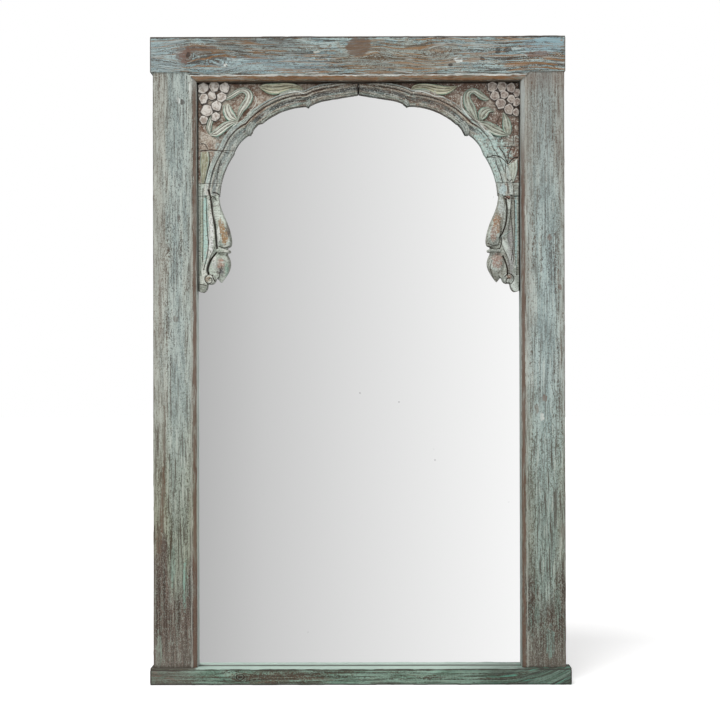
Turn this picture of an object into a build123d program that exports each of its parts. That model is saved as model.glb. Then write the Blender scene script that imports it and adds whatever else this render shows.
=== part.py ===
from build123d import *
import math
import os

# An old carved doorway frame that holds a tall mirror. Sizes are in millimetres.
# X runs across the front, -Y faces the room and Z runs up from the floor. The pieces are
# drawn about the middle of the opening and then shifted, so that X is 0 at the sill's middle.

# Frame: two posts between a sill and a lintel
FRAME_H = 1650.0
OPENING_W = 826.0
POST_W = 112.0
POST_T = 55.0
LINTEL_H = 115.0
LINTEL_STEP = 3.0
LINTEL_LEFT_EAR = 6.0
LINTEL_RIGHT_EAR = 2.5
SILL_H = 42.0
SILL_D = 70.0
SILL_LEFT_EAR = 6.5
SILL_RIGHT_EAR = 12.5
MITRE = 24.0
ARRIS = 2.0

# Joints of the frame
TENON_W = 60.0
TENON_T = 14.0
HEAD_TENON_L = 60.0
FOOT_TENON_L = 28.0
PEG_D = 8.0
PEG_COVER = 10.0
PEG_SPACING = 30.0

# Moulding along the inner front edge of the posts and the lintel
POST_OVOLO_W = 13.0
LINTEL_OVOLO_W = 16.0
OVOLO_D = 12.0
OVOLO_STEP = 2.0
OVOLO_BELLY_SHARES = (0.34, 0.28)

# Mirror glass and its backing board in the stepped rebate behind the opening
GLASS_T = 5.0
BOARD_T = 8.0
GLASS_REBATE = 12.0
BOARD_REBATE = 26.0
GLASS_PLAY = 1.0
BLOCK_L = 40.0
BLOCK_H = 3.0
BLOCK_PLACE_SHARE = 0.5

# Carved arch panel let into the front of the opening
ARCH_SET = 17.0
FIELD_DEPTH = 8.0
TONGUE_L = 7.0
TONGUE_T = 8.0
SEAM_GAP = 0.4

# Arch moulding, read from the edge of the opening outwards
EDGE_FILLET_W = 7.0
COVE_W = 13.0
BEAD_W = 5.0
QUIRK_W = 3.0
BAND_W = 11.0
EDGE_FILLET_DEPTH = 9.0
COVE_TOP_DEPTH = 3.0
BEAD_TOP_DEPTH = 1.5
QUIRK_DEPTH = 4.0
COVE_BELLY_SHARES = (0.42, 0.28)

# Lobes of the arch, from the crown down. Each is a circle: its centre's distance from the
# middle, its centre's drop below the lintel and its radius, as shares of half the opening.
# The crown and the shoulder take one circle each, the side takes a small one and a large one.
# Each lobe's moulding is sunk a hair deeper than that of the lobe above it.
APEX_DROP = 29.0
LOBE_SINK = 0.05
LOBE_SHARES = (
    (0.1574, 0.3838, 0.2845), (0.3126, 0.5838, 0.4426), (0.5763, 0.4964, 0.207), (0.3809, 0.7182, 0.4828),
)
CROWN_TURN = 150.0
FULL_TURN = 360.0

# Seams between the carved pieces, below the lintel
LEFT_SEAM_DROP = 174.0
RIGHT_SEAM_DROP = 193.0
LOWER_SEAM_DROP = 258.0
NOTCH_DROP = 289.0

# Pendants: a flower on a curved stem, with a bud under it and a scroll at its foot
PENDANT_H = 281.0
PENDANT_W = 89.0
GROUND_DEPTH = 10.0
PENDANT_TONGUE_L = 170.0
BELL_L = 126.0
BELL_R = 19.5
BELL_TILT = 10.0
BELL_TOP_SHARES = (0.562, 0.153)
BELL_SIDE_SHARES = (
    (0.3, 0.0), (0.34, 0.17), (0.52, 0.31), (0.80, 0.49), (0.95, 0.64), (1.0, 0.78), (0.94, 0.89), (0.72, 0.97),
)
NECK_R = 12.5
RING_R = 20.0
RING_H = 7.0
RING_SHARES = (0.727, 0.618)
BUD_R = 25.0
BUD_H = 76.0
BUD_SHARES = (0.675, 0.64)
BUD_SIDE_SHARES = ((0.66, 0.02), (0.93, 0.2), (1.0, 0.35), (0.9, 0.53), (0.64, 0.7), (0.32, 0.86))
SCROLL_R = 13.0
SCROLL_BEVEL = 3.0
SCROLL_SHARES = (0.371, 0.87)
STEM_DEPTH = 1.5
STEM_INNER_SHARES = (
    (0.53, 0.10), (0.42, 0.16), (0.47, 0.27), (0.51, 0.40),
    (0.54, 0.49), (0.50, 0.58), (0.38, 0.66), (0.30, 0.76), (0.30, 0.85),
)
STEM_OUTER_SHARES = (
    (0.13, 0.85), (0.13, 0.76), (0.20, 0.67), (0.31, 0.58),
    (0.37, 0.49), (0.35, 0.40), (0.29, 0.27), (0.27, 0.16), (0.28, 0.10),
)
TAIL_CURVE_SHARES = ((0.31, 0.84), (0.29, 0.92), (0.23, 0.975), (0.16, 0.992))
TAIL_BACK_SHARES = ((0.05, 0.985), (0.04, 0.84))
GROUND_SHARES = (
    (0.60, 0.10), (0.65, 0.22), (0.70, 0.32), (0.77, 0.45), (0.76, 0.60),
    (0.70, 0.78), (0.50, 0.88), (0.30, 0.92), (0.16, 0.98),
)

# Leaves and petals on the field of the spandrels, as shares across and down the field
FIELD_H = 174.0
LEAF_H = 6.5
LEAF_SHARES = (
    ((0.334, 0.124), (0.50, 0.01), (0.608, 0.066), (0.512, 0.165)),
    ((0.752, 0.562), (0.822, 0.43), (0.795, 0.314), (0.785, 0.44)),
    ((0.735, 0.569), (0.832, 0.585), (0.912, 0.759), (0.814, 0.69)),
    ((0.915, 0.735), (0.938, 0.606), (0.887, 0.474), (0.895, 0.606)),
)
HOOK_OUTER_SHARES = (
    (0.74, 0.562), (0.70, 0.42), (0.66, 0.31), (0.651, 0.20), (0.691, 0.08), (0.76, 0.125), (0.844, 0.25),
)
HOOK_INNER_SHARES = ((0.80, 0.255), (0.74, 0.19), (0.705, 0.16), (0.70, 0.23), (0.725, 0.34), (0.755, 0.46))
PETAL_R = 12.0
PETAL_SINK = 4.0
PETAL_SHARES = (
    (0.894, 0.065, 0.95), (0.825, 0.075, 1.0), (0.906, 0.175, 0.9), (0.842, 0.20, 1.0),
    (0.955, 0.24, 0.9), (0.886, 0.32, 1.0), (0.938, 0.40, 1.1), (0.952, 0.51, 0.9), (0.955, 0.08, 0.9),
)

# Dowels that pin the carved pieces to each other
DOWEL_D = 6.0
DOWEL_L = 30.0
HEAD_DOWEL_DROP = 14.0
SEAM_DOWEL_INSET = 27.0

# Hanger plates let into the backs of the posts, with their screws
PLATE_W = 30.0
PLATE_H = 90.0
PLATE_T = 2.5
PLATE_CORNER = 6.0
PLATE_DROP = 210.0
HOOK_HOLE_R = 5.0
POCKET_R = 10.0
POCKET_DEPTH = 14.0
PLATE_SCREW_SPACING = 64.0
PLATE_SCREW_D = 4.0
PLATE_SCREW_L = 18.0

# Screws round the edge of the backing board
BOARD_SCREW_D = 3.5
BOARD_SCREW_L = 25.0
SCREW_HEAD_SHARE = 1.0
SIDE_SCREW_COUNT = 5
RAIL_SCREW_COUNT = 3

# Clearances
FIT = 0.3
BORE_FIT = 0.1
CUT = 5.0

# Places that follow from the sizes above
HALF_OPENING = OPENING_W / 2
HALF_POSTS = HALF_OPENING + POST_W
POSTS_SHIFT = (SILL_LEFT_EAR - SILL_RIGHT_EAR) / 2
POST_X = HALF_OPENING + POST_W / 2
BACK_Y = SILL_D / 2
POST_Y = BACK_Y - POST_T
LINTEL_Y = POST_Y - LINTEL_STEP
LINTEL_Z = FRAME_H - LINTEL_H
SHOULDER_Z = LINTEL_Z + MITRE
BOARD_Y = BACK_Y - BOARD_T
GLASS_Y = BOARD_Y - GLASS_T
ARCH_Y = POST_Y + ARCH_SET
ARCH_BACK_Y = GLASS_Y - SEAM_GAP
FIELD_Y = ARCH_Y + FIELD_DEPTH
TONGUE_Y = (FIELD_Y + ARCH_BACK_Y - TONGUE_T) / 2
TENON_Y = (POST_Y + BACK_Y - TENON_T) / 2
PEG_Y = POST_Y + PEG_COVER
DOWEL_Y = (FIELD_Y + ARCH_BACK_Y) / 2
MOULDING_W = EDGE_FILLET_W + COVE_W + BEAD_W + QUIRK_W + BAND_W
LOWER_SEAM_Z = LINTEL_Z - LOWER_SEAM_DROP
PLATE_Z = FRAME_H - PLATE_DROP


def block(x0, x1, y0, y1, z0, z1):
    """A box between two corners."""
    centre = Pos((x0 + x1) / 2, (y0 + y1) / 2, (z0 + z1) / 2)
    return centre * Box(x1 - x0, y1 - y0, z1 - z0)


def rod(radius, start, end, direction):
    """A round bar from start to end, which lie along one direction."""
    length = (Vector(*end) - Vector(*start)).length
    return extrude(Plane(origin=start, z_dir=direction) * Circle(radius), amount=length)


def relief(face, back_y, front_y):
    """A shape drawn on the front of the frame, raised from back_y out to front_y."""
    return extrude(Plane.XZ.offset(-back_y) * face, amount=back_y - front_y)


def both_sides(solid):
    """A right-hand shape together with its mirror image on the left."""
    return solid + mirror(solid, about=Plane.YZ)


def rebate_void():
    """The stepped space for the glass and the backing board, behind the opening."""
    spaces = []
    for width, front in ((GLASS_REBATE, GLASS_Y), (BOARD_REBATE, BOARD_Y)):
        reach = HALF_OPENING + width
        spaces.append(block(-reach, reach, front, BACK_Y + CUT, SILL_H - width, LINTEL_Z + width))
    return spaces[0] + spaces[1]


def groove_void():
    """The stopped grooves in the lintel and the posts that take the panel's tongues."""
    y0, y1 = TONGUE_Y - FIT, TONGUE_Y + TONGUE_T + FIT
    reach = HALF_OPENING + TONGUE_L + FIT
    top = LINTEL_Z + TONGUE_L + FIT
    stop = LOWER_SEAM_Z - PENDANT_TONGUE_L - FIT
    head = block(-reach, reach, y0, y1, LINTEL_Z, top)
    side = block(HALF_OPENING, reach, y0, y1, stop, top)
    return head + both_sides(side)


def ovolo_section(width):
    """The corner taken off a square edge to leave a quarter round under a small step."""
    across, down = OVOLO_BELLY_SHARES
    step = (width, OVOLO_STEP)
    belly = (width * across, OVOLO_STEP + (OVOLO_D - OVOLO_STEP) * down)
    foot = (0, OVOLO_D)
    edges = Polyline(foot, (-CUT, OVOLO_D), (-CUT, -CUT), (width, -CUT), step)
    return make_face(edges + ThreePointArc(step, belly, foot))


def peg_line(x, z):
    """The start and end of a peg that goes in from the back and stops short of the front."""
    return (x, PEG_Y, z), (x, BACK_Y, z)


def peg_places():
    """Where the pegs cross the right-hand tenons: two at the head, one at the foot."""
    head_z = SHOULDER_Z + HEAD_TENON_L / 2
    foot_z = SILL_H - FOOT_TENON_L / 2
    return [
        (POST_X - PEG_SPACING / 2, head_z),
        (POST_X + PEG_SPACING / 2, head_z),
        (POST_X, foot_z),
    ]


def pegs(extra):
    """All six pegs, or their holes when extra widens them."""
    solids = []
    for x, z in peg_places():
        for side in (-1, 1):
            start, end = peg_line(side * x, z)
            solids.append(rod(PEG_D / 2 + extra, start, end, (0, 1, 0)))
    return solids


def tenons(side, fit):
    """The head and foot tenons of one post, or their mortises when fit opens them."""
    x = side * POST_X
    half = TENON_W / 2 + fit
    y0, y1 = TENON_Y - fit, TENON_Y + TENON_T + fit
    head = block(x - half, x + half, y0, y1, SHOULDER_Z - CUT, SHOULDER_Z + HEAD_TENON_L + fit)
    foot = block(x - half, x + half, y0, y1, SILL_H - FOOT_TENON_L - fit, SILL_H + CUT)
    return head, foot


def half_lintel(ear):
    """The right half of the lintel's timber, reaching past the post by its ear."""
    inner, end = HALF_OPENING + MITRE, HALF_POSTS + ear
    outline = [(0, LINTEL_Z), (HALF_OPENING, LINTEL_Z), (inner, SHOULDER_Z), (end, SHOULDER_Z)]
    outline += [(end, FRAME_H), (0, FRAME_H)]
    beam = relief(make_face(Polyline(*outline, close=True)), BACK_Y, LINTEL_Y)
    return chamfer(beam.edges().filter_by(Axis.X).sort_by(Axis.Z)[-2:], ARRIS)


def make_lintel():
    """The lintel, cut over the posts to a shoulder and a short mitre at the moulding."""
    beam = half_lintel(LINTEL_RIGHT_EAR) + mirror(half_lintel(LINTEL_LEFT_EAR), about=Plane.YZ)
    profile = Plane(origin=(-HALF_POSTS, LINTEL_Y, LINTEL_Z), x_dir=(0, 0, 1), z_dir=(1, 0, 0))
    beam -= extrude(profile * mirror(ovolo_section(LINTEL_OVOLO_W), about=Plane.XZ), amount=2 * HALF_POSTS)
    beam = beam - rebate_void() - groove_void()
    for side in (-1, 1):
        beam -= tenons(side, FIT)[0]
    return beam - pegs(BORE_FIT)


def make_post(side):
    """A post with its tenons, edge moulding, rebate, panel groove and hanger recess."""
    outline = [(HALF_OPENING, SILL_H), (HALF_POSTS, SILL_H), (HALF_POSTS, SHOULDER_Z)]
    outline += [(HALF_OPENING + MITRE, SHOULDER_Z), (HALF_OPENING, LINTEL_Z)]
    post = relief(make_face(Polyline(*outline, close=True)), BACK_Y, POST_Y)
    outer = post.edges().filter_by(Axis.Z).sort_by(Axis.X)[-2:]
    post = chamfer(outer, ARRIS)
    profile = Plane(origin=(HALF_OPENING, POST_Y, SILL_H), x_dir=(1, 0, 0), z_dir=(0, 0, 1))
    post -= extrude(profile * ovolo_section(POST_OVOLO_W), amount=FRAME_H)
    for tenon in tenons(1, 0):
        post += tenon
    post = post - rebate_void() - groove_void() - hanger_recess()
    if side < 0:
        post = mirror(post, about=Plane.YZ)
    return post - pegs(BORE_FIT) - screw_holes(side)


def make_sill():
    """The sill, wider and deeper than the posts that stand on it."""
    left, right = HALF_POSTS + SILL_LEFT_EAR, HALF_POSTS + SILL_RIGHT_EAR
    board = block(-left, right, -BACK_Y, BACK_Y, 0, SILL_H)
    front = board.faces().sort_by(Axis.Y)[0]
    board = chamfer(front.edges().filter_by(Axis.X), ARRIS)
    board = board - rebate_void()
    for side in (-1, 1):
        board -= tenons(side, FIT)[1]
    return board - pegs(BORE_FIT) - screw_holes(0)


def lobes():
    """Centre X, centre Z and radius of each circle of the arch on the right, from the crown down."""
    size = HALF_OPENING
    return [(across * size, LINTEL_Z - drop * size, radius * size) for across, drop, radius in LOBE_SHARES]


def moulding_section(start, edge, sink):
    """The air in front of the arch moulding: from start, through the edge, out to the flat band."""
    fillet = edge + EDGE_FILLET_W
    cove = fillet + COVE_W
    bead = cove + BEAD_W
    quirk = bead + QUIRK_W
    across, down = COVE_BELLY_SHARES
    fall = EDGE_FILLET_DEPTH - COVE_TOP_DEPTH
    face_y = ARCH_Y + sink
    edge_y = face_y + EDGE_FILLET_DEPTH
    front, behind = face_y - CUT, ARCH_BACK_Y + CUT
    cove_top = (cove, face_y + COVE_TOP_DEPTH)
    cove_belly = (cove - COVE_W * across, edge_y - fall * down)
    bead_top = ((cove + bead) / 2, face_y + BEAD_TOP_DEPTH)
    bead_foot = (bead, face_y + QUIRK_DEPTH)
    floor = (quirk, face_y + QUIRK_DEPTH)
    inner = Polyline((fillet, edge_y), (edge, edge_y), (edge, behind), (start, behind), (start, front))
    outer = Polyline((start, front), (quirk, front), floor, bead_foot)
    bead_arc = ThreePointArc(bead_foot, bead_top, cove_top)
    cove_arc = ThreePointArc(cove_top, cove_belly, (fillet, edge_y))
    return make_face(inner + outer + bead_arc + cove_arc)


def crown_line():
    """The straight run from the apex down to where it touches the crown lobe."""
    x, z, radius = lobes()[0]
    rise = LINTEL_Z - APEX_DROP - z
    reach = math.hypot(x, rise)
    slope = math.asin(radius / reach) - math.atan2(rise, x)
    return slope, math.sqrt(reach * reach - radius * radius)


def crown_plane():
    """A plane across the straight run, with its X pointing away from the opening."""
    slope = crown_line()[0]
    away = (-math.sin(slope), 0, math.cos(slope))
    along = (math.cos(slope), 0, math.sin(slope))
    return Plane(origin=(0, 0, LINTEL_Z - APEX_DROP), x_dir=away, z_dir=along)


def arch_air():
    """All that is cut away in front of the moulding and inside the opening, on the right."""
    slope, run = crown_line()
    straight = crown_plane() * mirror(moulding_section(-MOULDING_W, 0, 0), about=Plane.XZ)
    air = [extrude(straight, amount=run)]
    turns = [(Vector(-math.sin(slope), 0, math.cos(slope)), CROWN_TURN)]
    turns += [(Vector(0, 0, -1), FULL_TURN)] * (len(LOBE_SHARES) - 1)
    for i, ((x, z, radius), (start, turn)) in enumerate(zip(lobes(), turns)):
        across = Plane(origin=(x, 0, z), x_dir=start, z_dir=start.cross(Vector(0, 1, 0)))
        section = across * moulding_section(0, radius, i * LOBE_SINK)
        air.append(revolve(section, axis=Axis((x, 0, z), (0, 1, 0)), revolution_arc=turn))
    crown, shoulder, *_, side = lobes()
    y0, y1 = ARCH_Y - CUT, ARCH_BACK_Y + CUT
    air.append(block(-CUT, shoulder[0], y0, y1, side[1] - CUT, crown[1]))
    air.append(block(-CUT, crown[0], y0, y1, crown[1] - CUT, crown[1] + crown[2] - MOULDING_W / 2))
    return air


def cut_by(solid, tools):
    """A solid with each tool cut away in turn."""
    for tool in tools:
        solid = solid - tool
    return solid


def arch_band():
    """The raised stock that the moulding is worked in, reaching past the flat outer band."""
    run = crown_line()[1]
    y0, y1 = ARCH_Y, FIELD_Y + FIT
    strip = Rectangle(MOULDING_W + CUT, y1 - y0, align=(Align.MAX, Align.MAX))
    strip = Pos(MOULDING_W, -y0) * strip
    band = extrude(crown_plane() * strip, amount=run)
    for x, z, radius in lobes():
        band += rod(radius + MOULDING_W, (x, y0, z), (x, y1, z), (0, 1, 0))
    return band


def arch_piece(low, high, air, band):
    """Right half of the panel between two heights, with its moulding and side tongue."""
    x0, x1 = SEAM_GAP / 2, HALF_OPENING - FIT
    plate = block(x0, x1, FIELD_Y, ARCH_BACK_Y, low, high)
    raised = band & block(x0, x1, ARCH_Y - CUT, ARCH_BACK_Y, low, high)
    tongue = block(x1 - CUT, HALF_OPENING + TONGUE_L, TONGUE_Y, TONGUE_Y + TONGUE_T, low, high)
    return cut_by(plate + raised + tongue, air)


def on_field(point):
    """A place on the field from its share across and its share down."""
    across, down = point
    return across * HALF_OPENING, LINTEL_Z - down * FIELD_H


def leaves():
    """The leaves and the cluster of petals on the right-hand field."""
    front, back = FIELD_Y - LEAF_H, FIELD_Y + FIT
    carved = []
    for leaf in LEAF_SHARES:
        foot, upper, tip, lower = [on_field(p) for p in leaf]
        outline = ThreePointArc(foot, upper, tip) + ThreePointArc(tip, lower, foot)
        carved.append(relief(make_face(outline), back, front))
    outer = [on_field(p) for p in HOOK_OUTER_SHARES]
    inner = [on_field(p) for p in HOOK_INNER_SHARES]
    hook = Spline(*outer) + Line(outer[-1], inner[0]) + Spline(*inner) + Line(inner[-1], outer[0])
    carved.append(relief(make_face(hook), back, front))
    for across, down, size in PETAL_SHARES:
        x, z = on_field((across, down))
        carved.append(Pos(x, FIELD_Y + PETAL_SINK, z) * Sphere(PETAL_R * size))
    reach = block(0, HALF_OPENING - FIT, ARCH_Y, DOWEL_Y, LINTEL_Z - FIELD_H, LINTEL_Z - FIT)
    return [solid & reach for solid in carved]


def make_spandrel(side, air, band):
    """The upper piece of one side, with tongues in the lintel and the post."""
    drop = LEFT_SEAM_DROP if side < 0 else RIGHT_SEAM_DROP
    low = LINTEL_Z - drop + SEAM_GAP / 2
    piece = arch_piece(low, LINTEL_Z - FIT, air, band)
    y1 = TONGUE_Y + TONGUE_T
    head = block(SEAM_GAP / 2, HALF_OPENING + TONGUE_L, TONGUE_Y, y1, LINTEL_Z - CUT, LINTEL_Z + TONGUE_L)
    piece += cut_by(head, air)
    for carved in leaves():
        piece += cut_by(carved, air)
    return on_side(piece, side) - arch_dowels(BORE_FIT, FIT)


def make_haunch(side, air, band):
    """The short piece between the spandrel and the pendant."""
    drop = LEFT_SEAM_DROP if side < 0 else RIGHT_SEAM_DROP
    high = LINTEL_Z - drop - SEAM_GAP / 2
    piece = arch_piece(LOWER_SEAM_Z + SEAM_GAP / 2, high, air, band)
    return on_side(piece, side) - arch_dowels(BORE_FIT, FIT)


def on_pendant(point):
    """A place on the right pendant: its share in from the post and its share down."""
    across, down = point
    return HALF_OPENING - across * PENDANT_W, LOWER_SEAM_Z - down * PENDANT_H


def turned(side_shares, radius, height, at, tilt):
    """A round form hung from its top, with its front flush with the arch and its back cut flat."""
    side = [(r * radius, -h * height) for r, h in side_shares]
    top, foot = (0, side[0][1]), (0, -height)
    closing = Polyline(side[-1], foot, top, side[0])
    profile = Plane.XZ * make_face(Spline(*side) + closing)
    solid = revolve(profile, axis=Axis.Z)
    x, z = on_pendant(at)
    solid = Pos(x, ARCH_Y + radius, z) * Rot(0, tilt, 0) * solid
    keep = block(0, HALF_POSTS, ARCH_Y - CUT, ARCH_BACK_Y, z - 2 * height, z + height)
    return solid & keep


def make_pendant(side, air, band):
    """The lower piece of one side: moulding end, stem, flower, ring, bud and scroll."""
    notch_z = LINTEL_Z - NOTCH_DROP
    piece = arch_piece(notch_z, LOWER_SEAM_Z - SEAM_GAP / 2, air, band)
    edge = HALF_OPENING - FIT
    ground_y = ARCH_Y + GROUND_DEPTH
    inner = [on_pendant(p) for p in GROUND_SHARES]
    corners = [(edge, inner[0][1]), (edge, inner[-1][1])]
    ground = make_face(Spline(*inner) + Polyline(inner[-1], corners[1], corners[0], inner[0]))
    piece += relief(ground, ARCH_BACK_Y, ground_y)
    stem_y = ARCH_Y + STEM_DEPTH
    inner = [on_pendant(p) for p in STEM_INNER_SHARES]
    outer = [on_pendant(p) for p in STEM_OUTER_SHARES]
    stem = Spline(*inner) + Line(inner[-1], outer[0]) + Spline(*outer) + Line(outer[-1], inner[0])
    piece += relief(make_face(stem), ARCH_BACK_Y, stem_y)
    curve = [on_pendant(p) for p in TAIL_CURVE_SHARES]
    straight = [curve[-1]] + [on_pendant(p) for p in TAIL_BACK_SHARES] + [curve[0]]
    tail = make_face(Spline(*curve) + Polyline(*straight))
    piece += relief(tail, ARCH_BACK_Y, stem_y + STEM_DEPTH)
    piece += turned(BELL_SIDE_SHARES, BELL_R, BELL_L, BELL_TOP_SHARES, BELL_TILT)
    piece += turned(BUD_SIDE_SHARES, BUD_R, BUD_H, BUD_SHARES, 0)
    x, z = on_pendant(RING_SHARES)
    ring = Pos(x, ARCH_Y + RING_R, z) * Cylinder(RING_R, RING_H)
    ring = fillet(ring.edges(), RING_H / 3) + Pos(x, ARCH_Y + RING_R, z) * Cylinder(NECK_R, 3 * RING_H)
    piece += ring & block(0, HALF_POSTS, ARCH_Y - CUT, ARCH_BACK_Y, z - RING_R, z + RING_R)
    x, z = on_pendant(SCROLL_SHARES)
    scroll = rod(SCROLL_R, (x, ARCH_BACK_Y, z), (x, ARCH_Y, z), (0, -1, 0))
    piece += chamfer(scroll.edges().sort_by(Axis.Y)[0], SCROLL_BEVEL)
    low = LOWER_SEAM_Z - PENDANT_TONGUE_L
    tongue_y = TONGUE_Y + TONGUE_T
    piece += block(edge - CUT, HALF_OPENING + TONGUE_L, TONGUE_Y, tongue_y, low, LOWER_SEAM_Z - SEAM_GAP / 2)
    return on_side(piece, side) - arch_dowels(BORE_FIT, FIT)


def on_side(piece, side):
    """A right-hand piece, turned into the left-hand one where side is negative."""
    return mirror(piece, about=Plane.YZ) if side < 0 else piece


def arch_dowels(extra, end_play):
    """Dowels across the seams of the panel, or their holes when extra widens them."""
    half = DOWEL_L / 2 + end_play
    radius = DOWEL_D / 2 + extra
    z = LINTEL_Z - HEAD_DOWEL_DROP
    solids = [rod(radius, (-half, DOWEL_Y, z), (half, DOWEL_Y, z), (1, 0, 0))]
    x = HALF_OPENING - SEAM_DOWEL_INSET
    for side, upper in ((-1, LEFT_SEAM_DROP), (1, RIGHT_SEAM_DROP)):
        for drop in (upper, LOWER_SEAM_DROP):
            z = LINTEL_Z - drop
            start, end = (side * x, DOWEL_Y, z - half), (side * x, DOWEL_Y, z + half)
            solids.append(rod(radius, start, end, (0, 0, 1)))
    return solids


def screw(x, z, diameter, length, extra):
    """A countersunk screw driven from the back, or its hole when extra widens it."""
    radius = diameter / 2 + extra
    head = diameter * SCREW_HEAD_SHARE + extra
    shank = rod(radius, (x, BACK_Y - length - extra, z), (x, BACK_Y, z), (0, 1, 0))
    cone = Pos(x, BACK_Y - diameter / 4, z) * Rot(-90, 0, 0) * Cone(radius, head, diameter / 2)
    return shank + cone


def board_screw_places(side):
    """Screws in one post for side -1 or 1, or in the lintel and sill for side 0."""
    middle = (GLASS_REBATE + BOARD_REBATE) / 2
    if side:
        low, high = SILL_H + POST_W, LINTEL_Z - POST_W
        step = (high - low) / (SIDE_SCREW_COUNT - 1)
        return [(side * (HALF_OPENING + middle), low + i * step) for i in range(SIDE_SCREW_COUNT)]
    step = OPENING_W / RAIL_SCREW_COUNT
    across = [(i - (RAIL_SCREW_COUNT - 1) / 2) * step for i in range(RAIL_SCREW_COUNT)]
    return [(x, z) for x in across for z in (LINTEL_Z + middle, SILL_H - middle)]


def plate_screw_places(side):
    """The two screws of one hanger plate."""
    half = PLATE_SCREW_SPACING / 2
    return [(side * POST_X, PLATE_Z - half), (side * POST_X, PLATE_Z + half)]


def board_screws(side, extra):
    """The backing board's screws on one side, or their holes."""
    return [screw(x, z, BOARD_SCREW_D, BOARD_SCREW_L, extra) for x, z in board_screw_places(side)]


def plate_screws(side, extra):
    """One hanger plate's screws, or their holes."""
    return [screw(x, z, PLATE_SCREW_D, PLATE_SCREW_L, extra) for x, z in plate_screw_places(side)]


def screw_holes(side):
    """All the screw holes in a post, or in the lintel or sill for side 0."""
    holes = board_screws(side, BORE_FIT)
    return holes + plate_screws(side, BORE_FIT) if side else holes


def hanger_outline(grow):
    """The plate's rounded outline, widened by grow."""
    return RectangleRounded(PLATE_W + 2 * grow, PLATE_H + 2 * grow, PLATE_CORNER + grow)


def hanger_recess():
    """The shallow bed for the right-hand plate and the pocket behind its hook hole."""
    bed = Pos(POST_X, PLATE_Z) * hanger_outline(FIT)
    bed = relief(bed, BACK_Y + CUT, BACK_Y - PLATE_T)
    floor = BACK_Y - PLATE_T - POCKET_DEPTH
    return bed + rod(POCKET_R, (POST_X, floor, PLATE_Z), (POST_X, BACK_Y, PLATE_Z), (0, 1, 0))


def make_hanger_plate(side):
    """A steel plate with a hook hole in the middle and a countersunk hole at each end."""
    outline = Pos(side * POST_X, PLATE_Z) * (hanger_outline(0) - Circle(HOOK_HOLE_R))
    return relief(outline, BACK_Y, BACK_Y - PLATE_T) - plate_screws(side, BORE_FIT)


def make_glass():
    """The mirror glass, standing on its two setting blocks."""
    reach = HALF_OPENING + GLASS_REBATE - GLASS_PLAY
    low = SILL_H - GLASS_REBATE + BLOCK_H
    return block(-reach, reach, GLASS_Y, GLASS_Y + GLASS_T, low, LINTEL_Z + GLASS_REBATE - GLASS_PLAY)


def make_setting_blocks():
    """Two hardwood packers in the sill's rebate under the glass."""
    low = SILL_H - GLASS_REBATE
    x = HALF_OPENING * BLOCK_PLACE_SHARE
    right = block(x, x + BLOCK_L, GLASS_Y, GLASS_Y + GLASS_T, low, low + BLOCK_H)
    return both_sides(right)


def make_backing_board():
    """The board behind the glass, let in flush with the back and screwed all round."""
    reach = HALF_OPENING + BOARD_REBATE - FIT
    low, high = SILL_H - BOARD_REBATE, LINTEL_Z + BOARD_REBATE - FIT
    board = block(-reach, reach, BOARD_Y, BACK_Y, low, high)
    for side in (-1, 0, 1):
        board -= board_screws(side, BORE_FIT)
    return board


def group(solids):
    """Like pieces kept as separate solids in one node."""
    whole = Part()
    for solid in solids:
        whole += solid
    return whole


def make_parts():
    """Every piece by its name."""
    air, band = arch_air(), arch_band()
    parts = {"lintel": make_lintel() - screw_holes(0), "sill": make_sill()}
    for side, name in ((-1, "left"), (1, "right")):
        parts[f"{name}_post"] = make_post(side)
        parts[f"{name}_spandrel"] = make_spandrel(side, air, band)
        parts[f"{name}_haunch"] = make_haunch(side, air, band)
        parts[f"{name}_pendant"] = make_pendant(side, air, band)
        parts[f"{name}_hanger_plate"] = make_hanger_plate(side)
    *head_pegs, left_foot_peg, right_foot_peg = pegs(0)
    parts["lintel_pegs"] = group(head_pegs)
    parts["sill_pegs"] = group([left_foot_peg, right_foot_peg])
    parts["arch_dowels"] = group(arch_dowels(0, 0))
    parts["mirror_glass"] = make_glass()
    parts["setting_blocks"] = make_setting_blocks()
    parts["backing_board"] = make_backing_board()
    parts["board_screws"] = group([s for side in (-1, 0, 1) for s in board_screws(side, 0)])
    parts["hanger_screws"] = group([s for side in (-1, 1) for s in plate_screws(side, 0)])
    return parts


os.makedirs("parts", exist_ok=True)
for part_name, solid in make_parts().items():
    export_step(Pos(POSTS_SHIFT, 0, 0) * solid, f"parts/{part_name}.step")
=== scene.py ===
import bmesh
import bpy
import math
import numpy as np
from mathutils import Matrix, Vector


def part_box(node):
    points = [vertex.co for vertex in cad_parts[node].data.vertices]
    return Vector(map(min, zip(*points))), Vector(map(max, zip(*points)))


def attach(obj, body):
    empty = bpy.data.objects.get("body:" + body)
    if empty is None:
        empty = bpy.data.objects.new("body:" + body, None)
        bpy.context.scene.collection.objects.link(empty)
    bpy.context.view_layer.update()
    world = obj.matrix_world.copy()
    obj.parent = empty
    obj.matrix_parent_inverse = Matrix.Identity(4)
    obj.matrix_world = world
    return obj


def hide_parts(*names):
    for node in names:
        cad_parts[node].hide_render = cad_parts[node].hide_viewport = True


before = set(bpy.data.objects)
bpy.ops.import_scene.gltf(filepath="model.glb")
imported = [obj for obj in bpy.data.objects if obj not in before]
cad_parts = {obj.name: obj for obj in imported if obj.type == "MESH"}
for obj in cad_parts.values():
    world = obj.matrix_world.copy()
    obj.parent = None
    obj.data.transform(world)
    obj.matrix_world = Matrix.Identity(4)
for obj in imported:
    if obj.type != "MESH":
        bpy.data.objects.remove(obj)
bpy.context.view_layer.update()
bpy.ops.object.select_all(action="DESELECT")

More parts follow.
